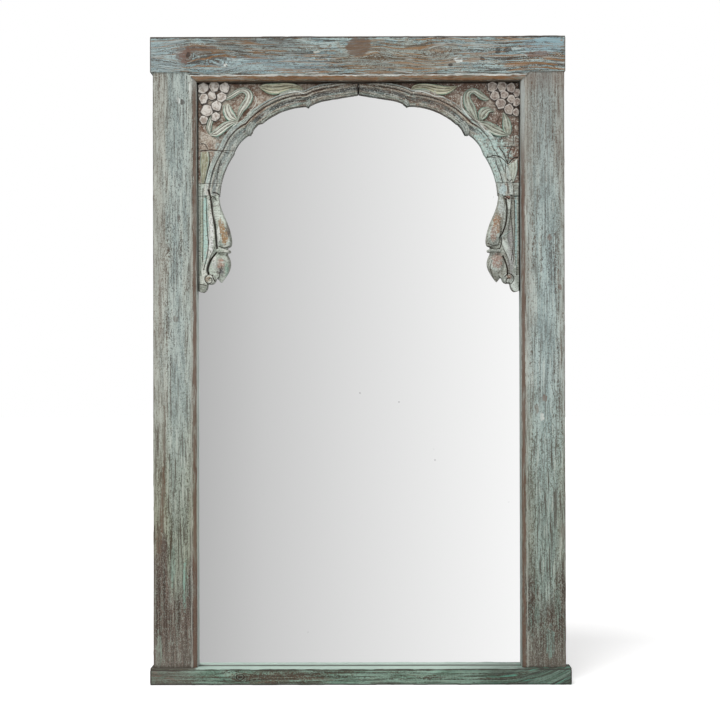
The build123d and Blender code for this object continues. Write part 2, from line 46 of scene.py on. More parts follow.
# The place it stands in: a plain pale floor, a white surround, soft light from the front and
# above, and the camera where the photograph was taken, about five metres away. The mirror
# shows a surround that runs from mid grey on the left to nearly white on the right.
CAMERA_AT = Vector((0.0259, -4.8, 0.786))
CAMERA_YAW = 0.0055
CAMERA_RISE = 0.0080
CAMERA_ROLL = -0.0024
PHOTO_SIZE = 720
FOCAL_PIXELS = 1878.3
SENSOR = 36.0
FLOOR_SIZE = 60.0
FLOOR_GREY = 0.8
FLOOR_GLOW = 0.45
SKY_STRENGTH = 0.42
MIRRORED_REACH = 0.4
MIRRORED_GREYS = (
    (0.0, 0.36), (0.385, 0.476), (0.43, 0.61), (0.49, 0.742), (0.55, 0.865), (0.60, 0.965), (1.0, 1.0),
)
WHITE = (1, 1, 1, 1)


def put(tree, kind, inputs=(), **settings):
    """Adds a shader node. inputs pairs a socket with a value or with another node's output."""
    node = tree.nodes.new("ShaderNode" + kind)
    for key, value in settings.items():
        setattr(node, key, value)
    for key, value in dict(inputs).items():
        if isinstance(value, bpy.types.NodeSocket):
            tree.links.new(value, node.inputs[key])
        else:
            node.inputs[key].default_value = value
    return node


def span(value, low, high, to_low=0.0, to_high=1.0, kind="SMOOTHSTEP"):
    """A value between low and high, taken smoothly to between to_low and to_high."""
    sockets = {"Value": value, "From Min": low, "From Max": high, "To Min": to_low, "To Max": to_high}
    return put(value.id_data, "MapRange", sockets, interpolation_type=kind).outputs["Result"]


def graded(value, stops):
    """Colours by a value from 0 to 1, through a table of places and the colour at each."""
    node = put(value.id_data, "ValToRGB", {"Fac": value})
    for place, shade in stops[1:-1]:
        node.color_ramp.elements.new(place)
    for stop, (place, shade) in zip(node.color_ramp.elements, stops):
        stop.position = place
        stop.color = shade
    return node.outputs["Color"]


def ray_kinds(tree):
    """Whether a ray comes straight from the camera, and whether it was mirrored or let through."""
    rays = put(tree, "LightPath").outputs
    bent = {0: rays["Is Glossy Ray"], 1: rays["Is Transmission Ray"]}
    return rays["Is Camera Ray"], put(tree, "Math", bent, operation="MAXIMUM").outputs[0]


def empty_material(name):
    """A new material with nothing in it but its output."""
    material = bpy.data.materials.new(name)
    material.use_nodes = True
    tree = material.node_tree
    for node in list(tree.nodes):
        if node.type != "OUTPUT_MATERIAL":
            tree.nodes.remove(node)
    return material, tree, tree.nodes["Material Output"].inputs["Surface"]


turn = Matrix.Rotation(CAMERA_YAW, 4, "Z") @ Matrix.Rotation(math.pi / 2 + CAMERA_RISE, 4, "X")
camera_turn = turn @ Matrix.Rotation(CAMERA_ROLL, 4, "Z")
bpy.ops.object.camera_add()
camera = bpy.context.object
camera.matrix_world = Matrix.Translation(CAMERA_AT) @ camera_turn
camera.data.sensor_width = SENSOR
camera.data.lens = FOCAL_PIXELS / PHOTO_SIZE * SENSOR
bpy.context.scene.camera = camera
bpy.context.scene.view_settings.view_transform = "Standard"


def on_plane(pixel, y):
    """The point at depth y that the camera sees at a pixel of the photograph."""
    right, down = pixel[0] - PHOTO_SIZE / 2, pixel[1] - PHOTO_SIZE / 2
    ray = camera_turn.to_3x3() @ Vector((right, -down, -FOCAL_PIXELS))
    return CAMERA_AT + ray * ((y - CAMERA_AT.y) / ray.y)


def lamp(name, strength, spread, lean, swing):
    """A soft distant light that comes from the front, raised by lean and swung to one side."""
    bpy.ops.object.light_add(type="SUN", rotation=(math.radians(90 - lean), 0, math.radians(swing)))
    light = bpy.context.object
    light.name = name
    light.data.energy = strength
    light.data.angle = math.radians(spread)


lamp("key_light", strength=2.0, spread=24, lean=52, swing=-24)
lamp("fill_light", strength=0.45, spread=60, lean=12, swing=40)

world = bpy.data.worlds.new("white_surround")
world.use_nodes = True
bpy.context.scene.world = world
tree = world.node_tree
tree.nodes.clear()
heading = put(tree, "SeparateXYZ", {0: put(tree, "TexCoord").outputs["Generated"]}).outputs["X"]
shades = graded(
    span(heading, -MIRRORED_REACH, MIRRORED_REACH, kind="LINEAR"),
    [(place, (grey, grey, grey, 1)) for place, grey in MIRRORED_GREYS],
)
from_camera, bent = ray_kinds(tree)
sky = put(tree, "Background", {"Color": WHITE, "Strength": SKY_STRENGTH}).outputs[0]
mirrored = put(tree, "Background", {"Color": shades, "Strength": 1.0}).outputs[0]
white = put(tree, "Background", {"Color": WHITE, "Strength": 1.0}).outputs[0]
light = put(tree, "MixShader", {0: bent, 1: sky, 2: mirrored}).outputs[0]
seen = put(tree, "MixShader", {0: from_camera, 1: light, 2: white}).outputs[0]
tree.links.new(seen, put(tree, "OutputWorld").inputs["Surface"])

bpy.ops.mesh.primitive_plane_add(size=FLOOR_SIZE)
floor = bpy.context.object
floor.name = "floor"
material, tree, surface = empty_material("pale_floor")
from_camera, bent = ray_kinds(tree)
matt = put(tree, "BsdfDiffuse", {"Color": (FLOOR_GREY, FLOOR_GREY, FLOOR_GREY, 1)}).outputs[0]
glow = put(tree, "Emission", {"Color": WHITE, "Strength": FLOOR_GLOW}).outputs[0]
lit = put(tree, "AddShader", {0: matt, 1: glow}).outputs[0]
shown = put(tree, "MixShader", {0: from_camera, 1: matt, 2: lit}).outputs[0]
open_air = put(tree, "BsdfTransparent").outputs[0]
tree.links.new(put(tree, "MixShader", {0: bent, 1: shown, 2: open_air}).outputs[0], surface)
floor.data.materials.append(material)

# Sill: one dark plank of hardwood on the floor, sawn and painted green, then worn by feet.
# It is drawn out from its section, its arrises are rubbed and chipped, and the rebate for
# the glass and the backing board is cut in its back. Its top carries a painted highlight,
# and its edges and ends painted shade.
MM = 0.001
GRAIN_STEP = 4 * MM
FIRST_LENGTHS = 20
BACK_SET = 0.3 * MM
PAST = 5 * MM
TONGUE_L = 7 * MM
SMOOTH_ANGLE = math.radians(38)
SILL_ROUND = 2.2 * MM
SILL_ARRIS = 5 * MM
SILL_KNOT = (-0.305, 0, 0.021)
SILL_KNOT_R = 12 * MM
SILL_FACE_END = 0.5295
PLACES = {name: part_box(name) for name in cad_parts}
OPENING_LEFT = PLACES["left_spandrel"][0].x + TONGUE_L
OPENING_RIGHT = PLACES["right_spandrel"][1].x - TONGUE_L
ARCH_X = (OPENING_LEFT + OPENING_RIGHT) / 2
HALF_OPENING = (OPENING_RIGHT - OPENING_LEFT) / 2
LINTEL_Z = PLACES["lintel"][0].z
SILL_TOP = PLACES["sill"][1].z


def alone(piece):
    """Selects one piece and makes it the active one."""
    bpy.ops.object.select_all(action="DESELECT")
    piece.select_set(True)
    bpy.context.view_layer.objects.active = piece


def pick(piece, wanted):
    """Selects the edges of a piece in edit mode that pass the test, and nothing else."""
    bpy.ops.mesh.select_mode(type="EDGE")
    bpy.ops.mesh.select_all(action="DESELECT")
    mesh = bmesh.from_edit_mesh(piece.data)
    for edge in mesh.edges:
        edge.select_set(wanted(edge))
    bmesh.update_edit_mesh(piece.data)


def faces_outward():
    """Turns the faces of the piece in edit mode outwards, and leaves edit mode."""
    bpy.ops.mesh.select_all(action="SELECT")
    bpy.ops.mesh.normals_make_consistent(inside=False)
    bpy.ops.object.mode_set(mode="OBJECT")


def timber(name, corners, start, end, run):
    """A plank drawn out from its section: corners are pairs across it, run is 0 for X or 2 for Z."""
    ring = []
    for a, b in zip(corners, corners[1:] + corners[:1]):
        a, b = Vector(a), Vector(b)
        count = max(1, round((b - a).length / GRAIN_STEP))
        ring += [a.lerp(b, i / count) for i in range(count)]
    bpy.ops.mesh.primitive_circle_add(vertices=len(ring), fill_type="NGON")
    plank = bpy.context.object
    plank.name = name
    for vertex, (u, v) in zip(plank.data.vertices, ring):
        vertex.co = (start, u, v) if run == 0 else (u, v, start)
    move = Vector((0, 0, 0))
    move[run] = end - start
    bpy.ops.object.mode_set(mode="EDIT")
    bpy.ops.mesh.select_all(action="SELECT")
    bpy.ops.mesh.extrude_region_move(TRANSFORM_OT_translate={"value": move})
    for count in (FIRST_LENGTHS, round(move[run] / GRAIN_STEP / FIRST_LENGTHS)):
        pick(plank, lambda edge: abs((edge.verts[0].co - edge.verts[1].co).normalized()[run]) > 0.99)
        bpy.ops.mesh.subdivide(number_cuts=count - 1)
    faces_outward()
    return plank


def applied(piece, kind, **settings):
    """Adds a modifier to a piece and applies it."""
    alone(piece)
    modifier = piece.modifiers.new(kind.lower(), kind)
    for key, value in settings.items():
        setattr(modifier, key, value)
    bpy.ops.object.modifier_apply(modifier=modifier.name)


def weather(piece, name, size, stretch, depth, contrast=1.0, group="", level=0.5):
    """Wears a piece with clouds of one size, stretched along the grain, over one group or all."""
    clouds = bpy.data.textures.new(name, "CLOUDS")
    clouds.noise_scale = size
    clouds.noise_depth = 2
    clouds.contrast = contrast
    clouds.use_clamp = True
    bpy.ops.object.empty_add()
    grain = bpy.context.object
    grain.scale = stretch
    bpy.context.view_layer.update()
    applied(
        piece, "DISPLACE", texture=clouds, texture_coords="OBJECT", texture_coords_object=grain,
        strength=depth, mid_level=level, vertex_group=group,
    )
    bpy.data.objects.remove(grain)


def near_arris(piece, reach, run, *arrises):
    """A vertex group that fades out from arrises along the run, each given by its place across it."""
    group = piece.vertex_groups.new(name="arris")
    for vertex in piece.data.vertices:
        across = [part for axis, part in enumerate(vertex.co) if axis != run]
        near = 1 - min(math.dist(across, arris) for arris in arrises) / reach
        if near > 0:
            group.add([vertex.index], near, "REPLACE")


def cut_away(piece, cutter):
    """Cuts a shape out of a piece, and removes the shape."""
    applied(piece, "BOOLEAN", object=cutter, operation="DIFFERENCE", solver="EXACT")
    bpy.data.objects.remove(cutter)


def cut_rebates(piece, back, from_z=None, to_z=None):
    """Cuts the boxes for the glass on its packers, and for the board, into the back of a piece."""
    for sheet, foot in (("mirror_glass", "setting_blocks"), ("backing_board", "backing_board")):
        low, high = PLACES[foot][0], PLACES[sheet][1]
        z = (low.z if from_z is None else from_z, high.z if to_z is None else to_z)
        sides = ((PLACES[sheet][0].x, high.x), (low.y, back + PAST), z)
        bpy.ops.mesh.primitive_cube_add(size=1)
        cutter = bpy.context.object
        for vertex in cutter.data.vertices:
            vertex.co = [sum(pair) / 2 + c * (pair[1] - pair[0]) for c, pair in zip(vertex.co, sides)]
        cut_away(piece, cutter)


def rounded(across, up, radius):
    """Three points round a corner; across and up are 1 or -1, pointing out of it."""
    back = radius * (1 - math.sqrt(0.5))
    return [(-across * radius, 0), (-across * back, -up * back), (0, -up * radius)]


def noise(vector, scale, detail, twist=0.0):
    """Noise with one scale, or with its own along, through and across the grain."""
    tree = vector.id_data
    scales = scale if isinstance(scale, tuple) else (scale, scale, scale)
    placed = put(tree, "Mapping", {"Vector": vector, "Scale": scales}).outputs["Vector"]
    sockets = {"Vector": placed, "Scale": 1.0, "Detail": detail, "Distortion": twist}
    return put(tree, "TexNoise", sockets).outputs["Fac"]


def calc(operation, first, second=0.0, clamp=False):
    """One step of arithmetic in a shader, on sockets or plain numbers."""
    tree = next(value.id_data for value in (first, second) if isinstance(value, bpy.types.NodeSocket))
    return put(tree, "Math", {0: first, 1: second}, operation=operation, use_clamp=clamp).outputs[0]


def times(first, *others):
    """The product of masks and amounts."""
    for value in others:
        first = calc("MULTIPLY", first, value)
    return first


def plus(first, *others):
    """The sum of values."""
    for value in others:
        first = calc("ADD", first, value)
    return first


def total(*terms):
    """The sum of values, each given with its weight, less half the weight of each."""
    return plus(*(times(calc("SUBTRACT", value, 0.5), weight) for value, weight in terms))


def either(first, *others):
    """The largest of several masks."""
    for value in others:
        first = calc("MAXIMUM", first, value)
    return first


def away_from(value, middle):
    """How far a value lies from a middle, to either side."""
    return calc("ABSOLUTE", calc("SUBTRACT", value, middle))


def axes(vector):
    """The three parts of a vector."""
    return put(vector.id_data, "SeparateXYZ", {0: vector}).outputs


def moved(operation, first, second):
    """One step of arithmetic on places."""
    return put(first.id_data, "VectorMath", {0: first, 1: second}, operation=operation).outputs[0]


def length(vector):
    """The length of a vector."""
    return put(vector.id_data, "VectorMath", {0: vector}, operation="LENGTH").outputs["Value"]


def geometry(tree, what):
    """The surface's own Normal or Pointiness."""
    return put(tree, "NewGeometry").outputs[what]


def srgb(red, green, blue):
    """A colour as it is read in the photograph, made linear."""
    parts = [c / 255 for c in (red, green, blue)]
    return [((c + 0.055) / 1.055) ** 2.4 if c > 10 / 255 else c / 12.92 for c in parts] + [1]


def tint(amount, first, second, mode="MIX"):
    """One colour laid over another by an amount."""
    sockets = {0: amount, 6: first, 7: second}
    return put(amount.id_data, "Mix", sockets, data_type="RGBA", blend_type=mode).outputs[2]


def layered(colour, *layers):
    """Colours laid one over the other: each is its shade and the masks that let it show."""
    for shade, *masks in layers:
        colour = tint(times(*masks), colour, srgb(*shade))
    return colour


def begin_group(name, inputs, outputs):
    """A node group with named inputs, each with its first value, and named outputs, each with its kind."""
    group = bpy.data.node_groups.new(name, "ShaderNodeTree")
    for label, value in inputs.items():
        kind = "Vector" if value is None else "Color" if isinstance(value, tuple) else "Float"
        socket = group.interface.new_socket(label, in_out="INPUT", socket_type="NodeSocket" + kind)
        if value is not None:
            socket.default_value = value
    for label, kind in outputs.items():
        group.interface.new_socket(label, in_out="OUTPUT", socket_type="NodeSocket" + kind)
    return group, group.nodes.new("NodeGroupInput").outputs, group.nodes.new("NodeGroupOutput").inputs


def build_old_paint():
    """Old paint on weathered hardwood: streaks along the grain, worn patches, grit, darker hollows and paler
    arrises.
    """
    grey = (0.5, 0.5, 0.5, 1)
    inputs = {"Vector": None, "Dark": grey, "Wood": grey, "Paint": grey, "Pale": grey}
    inputs.update({"Cover": 0.5, "Edge": 0.5, "Grain": 1.0, "Patchy": 0.8, "Speckle": 1.0})
    outputs = {"Color": "Color", "Roughness": "Float", "Height": "Float"}
    tree, given, out = begin_group("old_paint", inputs, outputs)
    vector, speckle = given["Vector"], given["Speckle"]
    fibre = noise(vector, (7, 300, 300), 4, 0.5)
    dash = noise(vector, (80, 420, 420), 3, 0.3)
    grit = noise(vector, (280, 440, 440), 3)
    streak = noise(vector, (2.8, 105, 105), 4, 0.8)
    cloud = noise(vector, (6, 13, 13), 5)
    shade = noise(vector, (10, 60, 60), 5, 0.4)
    point = geometry(tree, "Pointiness")
    worn = plus(
        given["Cover"], total((streak, 0.9), (fibre, 0.9)), times(total((cloud, 1.0)), given["Patchy"]),
        times(total((dash, 1.0), (grit, 0.9)), speckle),
    )
    kept = span(worn, 0.30, 0.62)
    wood = tint(span(fibre, 0.38, 0.60), given["Dark"], given["Wood"])
    paint = tint(span(shade, 0.40, 0.62), given["Paint"], given["Pale"])
    colour = tint(kept, wood, paint)
    for over, *masks in (
        ("Dark", span(fibre, 0.45, 0.33), given["Grain"], 0.55),
        ("Dark", span(dash, 0.45, 0.35), speckle, 0.5),
        ("Dark", span(grit, 0.45, 0.36), speckle, 0.65),
        ("Pale", span(grit, 0.55, 0.64), speckle, 0.6),
        ("Dark", span(point, 0.495, 0.44), 0.75),
        ("Pale", span(point, 0.505, 0.56), given["Edge"], 0.8),
    ):
        colour = tint(times(*masks), colour, given[over])
    tree.links.new(colour, out["Color"])
    tree.links.new(span(kept, 0, 1, 0.82, 0.66), out["Roughness"])
    tree.links.new(total((fibre, 0.8), (kept, 0.3), (dash, 0.6), (grit, 0.5)), out["Height"])
    return tree


def build_patch():
    """A soft-edged mark: 1 inside an oval round a centre, 0 outside, with a ragged rim."""
    inputs = {"Vector": None, "Centre": None, "Size": None, "Ragged": 0.3}
    tree, given, out = begin_group("patch", inputs, {"Mask": "Float"})
    away = moved("SUBTRACT", given["Vector"], given["Centre"])
    reach = length(moved("DIVIDE", away, given["Size"]))
    rough = total((noise(given["Vector"], (90, 150, 150), 5), 3.0))
    tree.links.new(span(plus(reach, times(rough, given["Ragged"])), 1.12, 0.88), out["Mask"])
    return tree


def build_knot():
    """Grain that bends round a knot: gives the bent place, and rings inside the knot."""
    outputs = {"Vector": "Vector", "Mask": "Float", "Rings": "Float"}
    tree, given, out = begin_group("knot", {"Vector": None, "Centre": None, "Size": 0.02}, outputs)
    natural = 2.718
    away = moved("SUBTRACT", given["Vector"], given["Centre"])
    ratio = calc("DIVIDE", length(moved("MULTIPLY", away, (0.55, 0.0, 1.0))), given["Size"])
    pull = calc("POWER", natural, times(ratio, ratio, -0.35))
    squeeze = put(tree, "CombineXYZ", {"Z": times(pull, -0.72)}).outputs[0]
    tree.links.new(moved("ADD", given["Vector"], moved("MULTIPLY", away, squeeze)), out["Vector"])
    uneven = plus(ratio, total((noise(given["Vector"], 40, 2), 1.2)))
    tree.links.new(span(uneven, 1.15, 0.6), out["Mask"])
    tree.links.new(span(calc("SINE", times(uneven, 16.0)), -0.6, 0.8), out["Rings"])
    return tree


old_paint = build_old_paint()
patch_group = build_patch()
knot_group = build_knot()


def grouped(group, inputs):
    """Places a node group in the material that its vector comes from, and gives its outputs."""
    return put(inputs["Vector"].id_data, "Group", inputs, node_tree=group).outputs


def patch(vector, centre, size, ragged):
    """One oval mark in the same coordinates as the grain."""
    return grouped(patch_group, {"Vector": vector, "Centre": centre, "Size": size, "Ragged": ragged})["Mask"]


def along_grain(tree, order=(0, 1, 2)):
    """Object coordinates, set so that the first runs along the grain and the last across it."""
    parts = axes(put(tree, "TexCoord").outputs["Object"])
    return put(tree, "CombineXYZ", {i: parts[axis] for i, axis in enumerate(order)}).outputs[0]


def finish_wood(surface, colour, roughness, height, depth, strength=0.6):
    """The matt surface of dry old wood, with its grain raised by a bump."""
    tree = surface.id_data
    bump = put(tree, "Bump", {"Strength": strength, "Distance": depth, "Height": height}).outputs[0]
    sockets = {"Base Color": colour, "Roughness": roughness, "Specular IOR Level": 0.3, "Normal": bump}
    tree.links.new(put(tree, "BsdfPrincipled", sockets).outputs[0], surface)


def painted(piece, material):
    """Gives a piece one material, in place of any that it had."""
    piece.data.materials.clear()
    piece.data.materials.append(material)


def dressed(piece, node):
    """Smooths a finished piece, gives it its body, and hides the CAD node it stands for."""
    alone(piece)
    bpy.ops.object.shade_smooth_by_angle(angle=SMOOTH_ANGLE)
    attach(piece, "root")
    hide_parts(node)


low, high = PLACES["sill"]
back = high.y - BACK_SET
corner = [Vector((low.y, low.z)) + Vector(p) for p in reversed(rounded(-1, -1, SILL_ROUND))]
top_corner = [Vector((low.y, high.z)) + Vector(p) for p in rounded(-1, 1, SILL_ROUND)]
section = [(back, low.z), (back, high.z)] + [tuple(p) for p in top_corner + corner]
sill = timber("sill_worn", section, low.x, high.x, 0)
near_arris(sill, SILL_ARRIS, 0, (low.y, high.z), (low.y, low.z))
weather(sill, "sill_waves", 0.09, (2.5, 1, 1), 0.7 * MM, level=0.9)
weather(sill, "sill_chips", 0.022, (1.8, 1, 1), 3 * MM, 3.2, "arris", 1.0)
cut_rebates(sill, back, to_z=high.z + PAST)

material, tree, surface = empty_material("sill_green")
vector = along_grain(tree)
along, deep, up = axes(vector)
knot = grouped(knot_group, {"Vector": vector, "Centre": SILL_KNOT, "Size": SILL_KNOT_R})
past_foot = calc("MAXIMUM", calc("SUBTRACT", along, 0.34), 0.0)
rising = put(tree, "CombineXYZ", {"Z": times(past_foot, past_foot, -1.5)}).outputs[0]
figured = moved("ADD", knot["Vector"], rising)
paint = grouped(old_paint, {
    "Vector": figured, "Dark": srgb(56, 52, 44), "Wood": srgb(98, 84, 70), "Paint": srgb(92, 118, 102),
    "Pale": srgb(136, 164, 148), "Cover": 0.46, "Edge": 0.7, "Grain": 1.0, "Speckle": 0.6,
})
lines = noise(figured, (5, 210, 210), 3, 0.4)
pink = noise(figured, (30, 220, 220), 3, 0.8)
strokes = noise(figured, (7, 150, 150), 3, 0.6)
colour = layered(
    paint["Color"],
    ((58, 50, 42), span(lines, 0.46, 0.38), 0.6),
    ((132, 158, 142), span(lines, 0.56, 0.64), 0.45),
    ((150, 126, 112), span(pink, 0.56, 0.64), span(along, -0.40, -0.47, 0.1, 0.55)),
    ((98, 92, 84), span(along, -0.46, -0.38, 1, 0), 0.55),
    ((40, 36, 30), knot["Mask"], knot["Rings"]),
)
# Painted light on the top face: light inside the opening, as if lit from above, and dark in front of the
# posts as painted contact shade with some dirt.
facing_up = axes(geometry(tree, "Normal"))["Z"]
under_post = span(away_from(along, ARCH_X), HALF_OPENING - 2 * MM, HALF_OPENING + 9 * MM)
top = tint(under_post, srgb(172, 192, 182), srgb(88, 82, 72))
colour = tint(times(span(facing_up, 0.7, 0.95), 0.8), colour, top)
# Painted shade: dark along the top edge of the front below the lit top, along the foot on the floor, and at
# the ends.
lip = times(span(up, 36 * MM, 39 * MM), span(facing_up, 0.8, 0.5))
tips = span(calc("ABSOLUTE", along), SILL_FACE_END, SILL_FACE_END + 3 * MM)
colour = layered(
    colour,
    ((46, 38, 32), either(lip, span(up, 5 * MM, 2.5 * MM), tips), 0.88),
    ((52, 60, 52), span(along, 0.15, 0.42), 0.5),
    ((86, 146, 126), span(along, 0.26, 0.42), span(strokes, 0.54, 0.62), 0.75),
    ((44, 42, 40), span(along, 0.26, 0.42), span(strokes, 0.46, 0.40), 0.6),
    ((54, 52, 42), span(deep, 5 * MM, 14 * MM), 0.85),
)
finish_wood(surface, colour, paint["Roughness"], paint["Height"], 1.6 * MM)
painted(sill, material)
dressed(sill, "sill")

# Posts: two sawn hardwood planks, tenoned into the sill and the lintel and pegged from behind.
# Their inner front edges carry a small step and a quarter round. The grey-green paint is
# rubbed thin, and the foot of each post has gone back to brown wood.
POST_STEP = 2 * MM
POST_OVOLO = (13 * MM, 12 * MM)
POST_ROUND = 2 * MM
OVOLO_POINTS = 6
ARRIS_REACH = 6 * MM
MITRE = 24 * MM
BOARD_T = 8 * MM
BOARD_REBATE = 26 * MM
GLASS_REBATE = 12 * MM
POCKET_R = 10 * MM
POCKET_DEPTH = 14 * MM
# Streaks on a post: place up and across, half size up and across, colour, amount.
LEFT_STREAKS = (
    (0.6, -0.4985, 0.11, 0.0035, (94, 70, 54), 0.75), (0.5, -0.502, 0.06, 0.0045, (94, 70, 54), 0.8),
    (0.43, -0.5055, 0.05, 0.0055, (94, 70, 54), 0.85), (0.37, -0.513, 0.04, 0.0075, (94, 70, 54), 0.85),
    (0.95, -0.509, 0.12, 0.004, (94, 70, 54), 0.4), (0.25, -0.4465, 0.06, 0.006, (136, 174, 160), 0.7),
    (0.085, -0.513, 0.045, 0.007, (140, 156, 142), 0.6), (0.3, -0.478, 0.05, 0.006, (132, 164, 152), 0.5),
    (1.483, -0.451, 0.008, 0.005, (66, 56, 50), 0.95), (1.488, -0.462, 0.01, 0.004, (228, 230, 226), 0.9),
    (1.517, -0.431, 0.022, 0.004, (216, 220, 216), 0.8), (1.186, -0.462, 0.01, 0.004, (84, 66, 56), 0.9),
    (0.93, -0.47, 0.008, 0.006, (92, 74, 62), 0.7),
)
RIGHT_STREAKS = (
    (0.105, 0.481, 0.04, 0.011, (120, 152, 142), 0.6), (0.2, 0.5, 0.05, 0.008, (118, 146, 134), 0.45),
    (0.7, 0.449, 0.012, 0.006, (112, 88, 72), 0.6), (0.385, 0.515, 0.02, 0.006, (88, 68, 56), 0.6),
    (1.135, 0.482, 0.008, 0.006, (116, 78, 60), 0.9), (0.726, 0.469, 0.009, 0.006, (112, 74, 54), 0.9),
    (1.009, 0.509, 0.007, 0.004, (112, 84, 70), 0.7), (1.021, 0.435, 0.03, 0.008, (200, 202, 194), 0.4),
    (0.68, 0.462, 0.01, 0.005, (214, 216, 210), 0.8),
)
POSTS = {
    "left": {
        "side": -1, "wood": (124, 114, 102), "paint": (148, 157, 151), "pale": (184, 192, 184),
        "cover": (0.74, 0.68), "speckle": 1.3, "dull": (0.78, 0.76, 0.68, 1), "green": (128, 136, 118),
        "bare_wood": (112, 98, 88), "bare_paint": (104, 110, 100), "bare_cover": 0.26,
        "centre": 48 * MM, "rubbed": (1.56, 1.48, 0.7), "streaks": LEFT_STREAKS,
    },
    "right": {
        "side": 1, "wood": (112, 100, 90), "paint": (140, 152, 148), "pale": (176, 190, 186),
        "cover": (0.70, 0.58), "speckle": 1.5, "dull": (0.80, 0.80, 0.76, 1), "green": (130, 146, 132),
        "bare_wood": (100, 92, 82), "bare_paint": (98, 116, 106), "bare_cover": 0.36,
        "centre": 62 * MM, "rubbed": (1.48, 1.25, 0.85), "streaks": RIGHT_STREAKS,
    },
}


def ovolo(width, depth, step):
    """Points from the face, over the small step, round the quarter round to the inner edge."""
    points = [(width, 0), (width, step)]
    for i in range(1, OVOLO_POINTS + 1):
        turned = math.pi / 2 * i / OVOLO_POINTS
        points.append((width * (1 - math.sin(turned)), depth - (depth - step) * math.cos(turned)))
    return points


def bored(piece, centre, radius, depth, sides=32):
    """Bores a round hole through a piece along Y, with its own middle at the centre."""
    turned = (math.pi / 2, 0, 0)
    bpy.ops.mesh.primitive_cylinder_add(
        vertices=sides, radius=radius, depth=depth, location=centre, rotation=turned,
    )
    cutter = bpy.context.object
    bpy.ops.object.transform_apply(location=True, rotation=True, scale=True)
    cut_away(piece, cutter)


def make_post(label, side):
    """One post with its moulding, rebates, mitre and hook pocket: side is -1 on the left, 1 on the right."""
    name = label + "_post"
    low, high = PLACES[name]
    inner = OPENING_LEFT if side < 0 else OPENING_RIGHT
    outer = low.x if side < 0 else high.x
    back = high.y - BACK_SET
    board_front = PLACES["backing_board"][1].y - BOARD_T
    glass_front = PLACES["setting_blocks"][0].y
    mould = [(inner + side * x, low.y + y) for x, y in reversed(ovolo(*POST_OVOLO, POST_STEP))]
    corner = [(outer + side * x, low.y - y) for x, y in rounded(1, 1, POST_ROUND)]
    board_x, glass_x = inner + side * BOARD_REBATE, inner + side * GLASS_REBATE
    section = mould + corner + [(outer, back), (board_x, back), (board_x, board_front)]
    section += [(glass_x, board_front), (glass_x, glass_front), (inner, glass_front)]
    post = timber(name + "_worn", section, SILL_TOP, LINTEL_Z + MITRE, 2)
    near_arris(post, ARRIS_REACH, 2, (outer, low.y), (inner + side * POST_OVOLO[0], low.y))
    weather(post, name + "_waves", 0.10, (1, 1, 3), 1.0 * MM, level=0.9)
    weather(post, name + "_chips", 0.016, (1, 1, 3.0), 3.2 * MM, 3.0, "arris", 1.0)
    bpy.ops.object.mode_set(mode="EDIT")
    bpy.ops.mesh.select_all(action="SELECT")
    bpy.ops.mesh.bisect(
        plane_co=(inner, 0, LINTEL_Z), plane_no=(-side, 0, 1),
        use_fill=True, clear_outer=True, threshold=1e-6,
    )
    bpy.ops.object.mode_set(mode="OBJECT")
    plate = PLACES[label + "_hanger_plate"]
    depth = POCKET_DEPTH + PAST
    centre = (plate[0] + plate[1]) / 2
    centre.y = back + PAST - depth / 2
    bored(post, centre, POCKET_R, depth)
    return post


